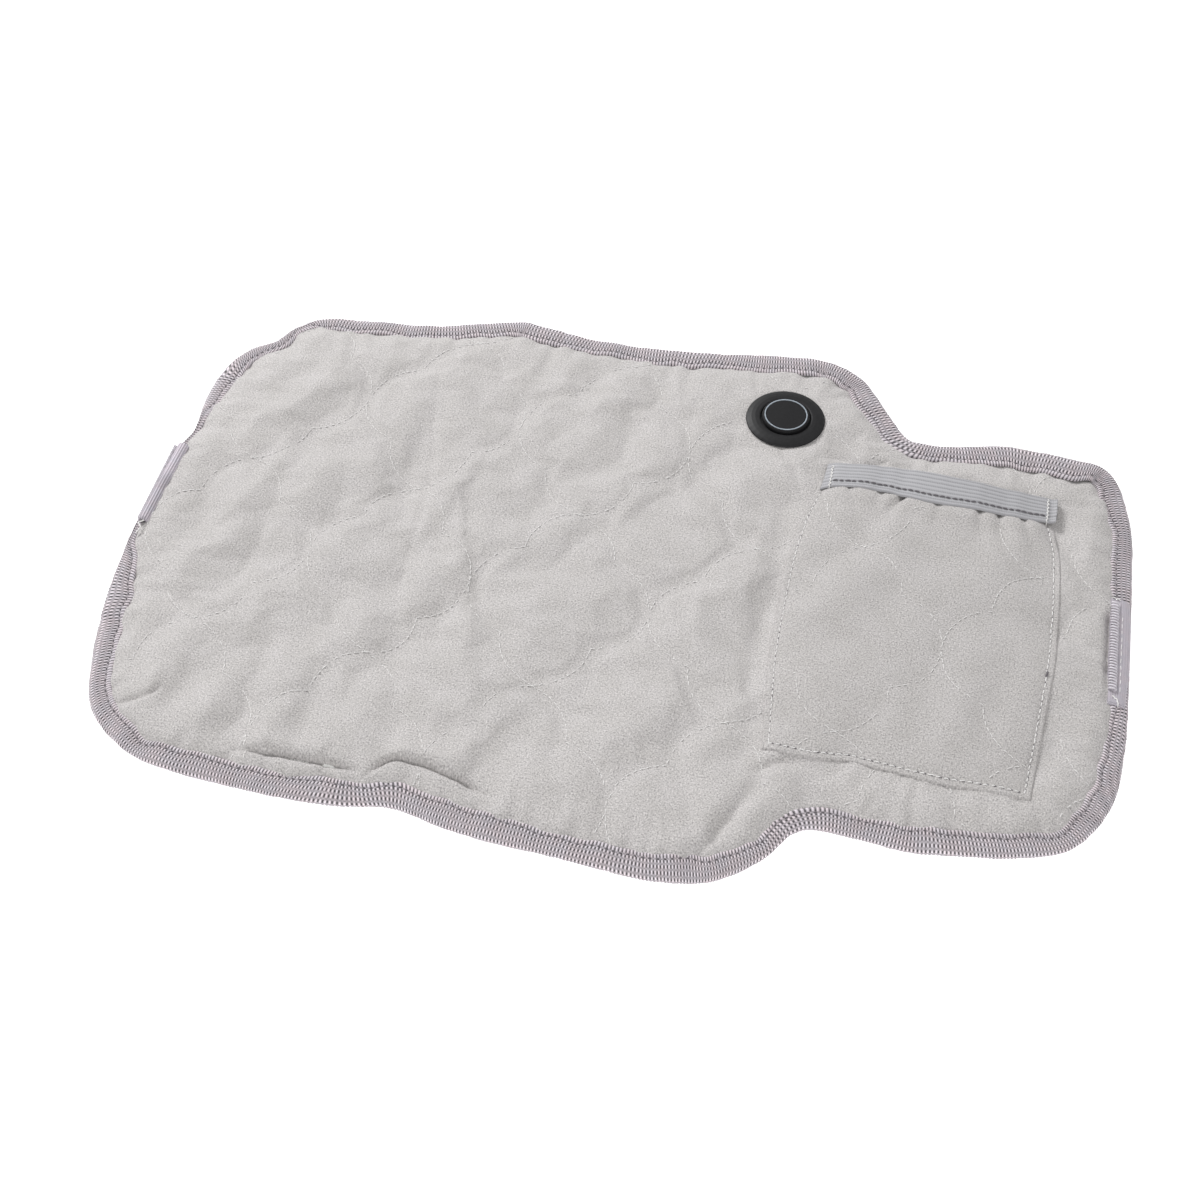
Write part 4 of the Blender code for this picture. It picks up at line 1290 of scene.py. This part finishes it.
def make_left_zip():
    """The other half of the zip, rolled up on itself at the pad's left edge."""
    spans = ((-21.5, -19.5, 5), (-18, 31, 60), (32.2, 34.0, 5))
    y = np.concatenate([np.linspace(*span) for span in spans])
    low, high = LEFT_ZIP_ENDS
    size = 0.35 + 0.65 * round_over(np.minimum(y - low, high - y), 1.6)
    centre_x = np.interp(y, [-21.5, 5, 34], [-244.6, -244.2, -243.0])
    line = np.column_stack([centre_x, y, np.full(len(y), 6.2), size])
    angles = np.linspace(0, 2 * np.pi, 144, endpoint=False)
    radius = 1 + 0.030 * np.cos(16 * angles) + 0.02 * np.cos(3 * angles + 1)
    wide, tall = LEFT_ZIP_SIZE
    ring = np.column_stack([wide * radius * np.cos(angles), tall * radius * np.sin(angles)])
    roll = swept("zip_tape_left_roll", line, ring, materials["zip"])
    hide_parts("zip_tape_left")
    coil = helix(-21.0, 31.0, -246.3, 9.0, 1.5, 1.5, 0.9, 0.32, "zip_coil_left_teeth")
    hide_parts("zip_coil_left")
    tail = [(-243.4, -22.0, 9.0), (-245.2, -24.5, 9.6), (-243.2, -26.5, 9.0), (-244.8, -30.0, 7.6)]
    points, faces = thread_tube(np.array(tail), 0.42)
    thread = make_piece("zip_left_thread", points, faces, materials["thread"])
    for piece in (roll, coil, thread):
        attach(piece, "pad_left")


# ---- hard pieces


def finish_hard_pieces():
    """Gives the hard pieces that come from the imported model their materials."""
    finishes = {
        "shell": ("controller_bezel", "controller_base", "switch_plunger"),
        "cap": (
            "button_cap", "tact_switch", "supply_gland", "return_gland", "heater_gland", "pocket_grommet",
        ),
        "light": ("light_ring", "led_left", "led_right"),
        "board": ("control_board",),
        "steel": ("board_screw_1", "board_screw_2", "board_screw_3", "thermal_cutout"),
        "lead": ("supply_lead", "return_lead"),
    }
    for kind, nodes in finishes.items():
        for node in nodes:
            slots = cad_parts[node].data.materials
            slots.clear()
            slots.append(materials[kind])


# ---- stage

# Each light's name, place and size in metres, and power in watts.
LIGHTS = [
    ("key_light", (-1.45, 1.4, 1.5), 0.75, 62),
    ("front_light", (0.15, -1.2, 0.75), 0.9, 9),
    ("fill_light", (0.9, 0.3, 1.1), 1.0, 3),
]
SKY_STRENGTH = 0.46
FLOOR_GLOW = 0.6
FLOOR_REACH, FLOOR_Z = 12.0, -0.0004  # m
CAMERA_PLACE = (0.10657, -0.55055, 0.67339)  # m
CAMERA_WAY = (-0.13185, 0.61535, -0.77715)
CAMERA_LENS = 52.5  # mm, on a sensor 36 mm wide


def area_light(name, place, size, power):
    """A square light that looks at the pad's middle."""
    data = bpy.data.lights.new(name, "AREA")
    data.energy = power
    data.size = size
    light = bpy.data.objects.new(name, data)
    light.location = place
    light.rotation_euler = (-Vector(place)).to_track_quat("-Z", "Y").to_euler()
    bpy.context.scene.collection.objects.link(light)


def make_stage():
    """A white floor, a plain white sky and the lights."""
    floor_mesh = bpy.data.meshes.new("floor")
    reach, z = FLOOR_REACH, FLOOR_Z
    corners = [(-reach, -reach, z), (reach, -reach, z), (reach, reach, z), (-reach, reach, z)]
    floor_mesh.from_pydata(corners, [], [(0, 1, 2, 3)])
    floor = bpy.data.objects.new("floor", floor_mesh)
    bpy.context.scene.collection.objects.link(floor)
    paint, _, shader = new_material("floor_paint", (0.96, 0.96, 0.96), 0.9)
    shader.inputs["Emission Color"].default_value = (1, 1, 1, 1)
    shader.inputs["Emission Strength"].default_value = FLOOR_GLOW
    floor_mesh.materials.append(paint)
    world = bpy.data.worlds.new("studio")
    bpy.context.scene.world = world
    world.use_nodes = True
    background = world.node_tree.nodes["Background"]
    background.inputs["Color"].default_value = (1, 1, 1, 1)
    background.inputs["Strength"].default_value = SKY_STRENGTH
    for light in LIGHTS:
        area_light(*light)


def make_camera():
    camera_data = bpy.data.cameras.new("camera")
    camera_data.lens = CAMERA_LENS
    camera_data.sensor_width = 36
    camera = bpy.data.objects.new("camera", camera_data)
    camera.location = CAMERA_PLACE
    camera.rotation_euler = Vector(CAMERA_WAY).to_track_quat("-Z", "Y").to_euler()
    bpy.context.scene.collection.objects.link(camera)
    bpy.context.scene.camera = camera


make_camera()
make_stage()
bpy.context.scene.view_settings.view_transform = "Standard"
finish_hard_pieces()

cover = make_cover()
cover_height = surface_of(cover)
bend(sew("quilting_stitches", pad_quilting, cover_height, "thread", 2.2, 1.3, 0.22, 0.12, sunk=0.2))
make_binding()

panel, pocket_threads_and_hole_shade, panel_height = make_pocket(cover_height)
elastic, elastic_threads = make_elastic(panel_height)
for half in opened(panel):
    declare_half(half, "pocket_panel")
for half in opened(elastic):
    declare_half(half, "pocket_elastic")
for threads in pocket_threads_and_hole_shade + elastic_threads:
    opened(threads)

make_right_zip()
make_left_zip()
make_wadding(cover_height)
make_lining()
bend(sew("back_quilting_stitches", pad_quilting, lining_height, "thread", side=-1))
make_heater_carrier()
bent_copy("heating_wire", ["heating_wire_right", "heating_wire_left", "return_wire"], materials["wire"])
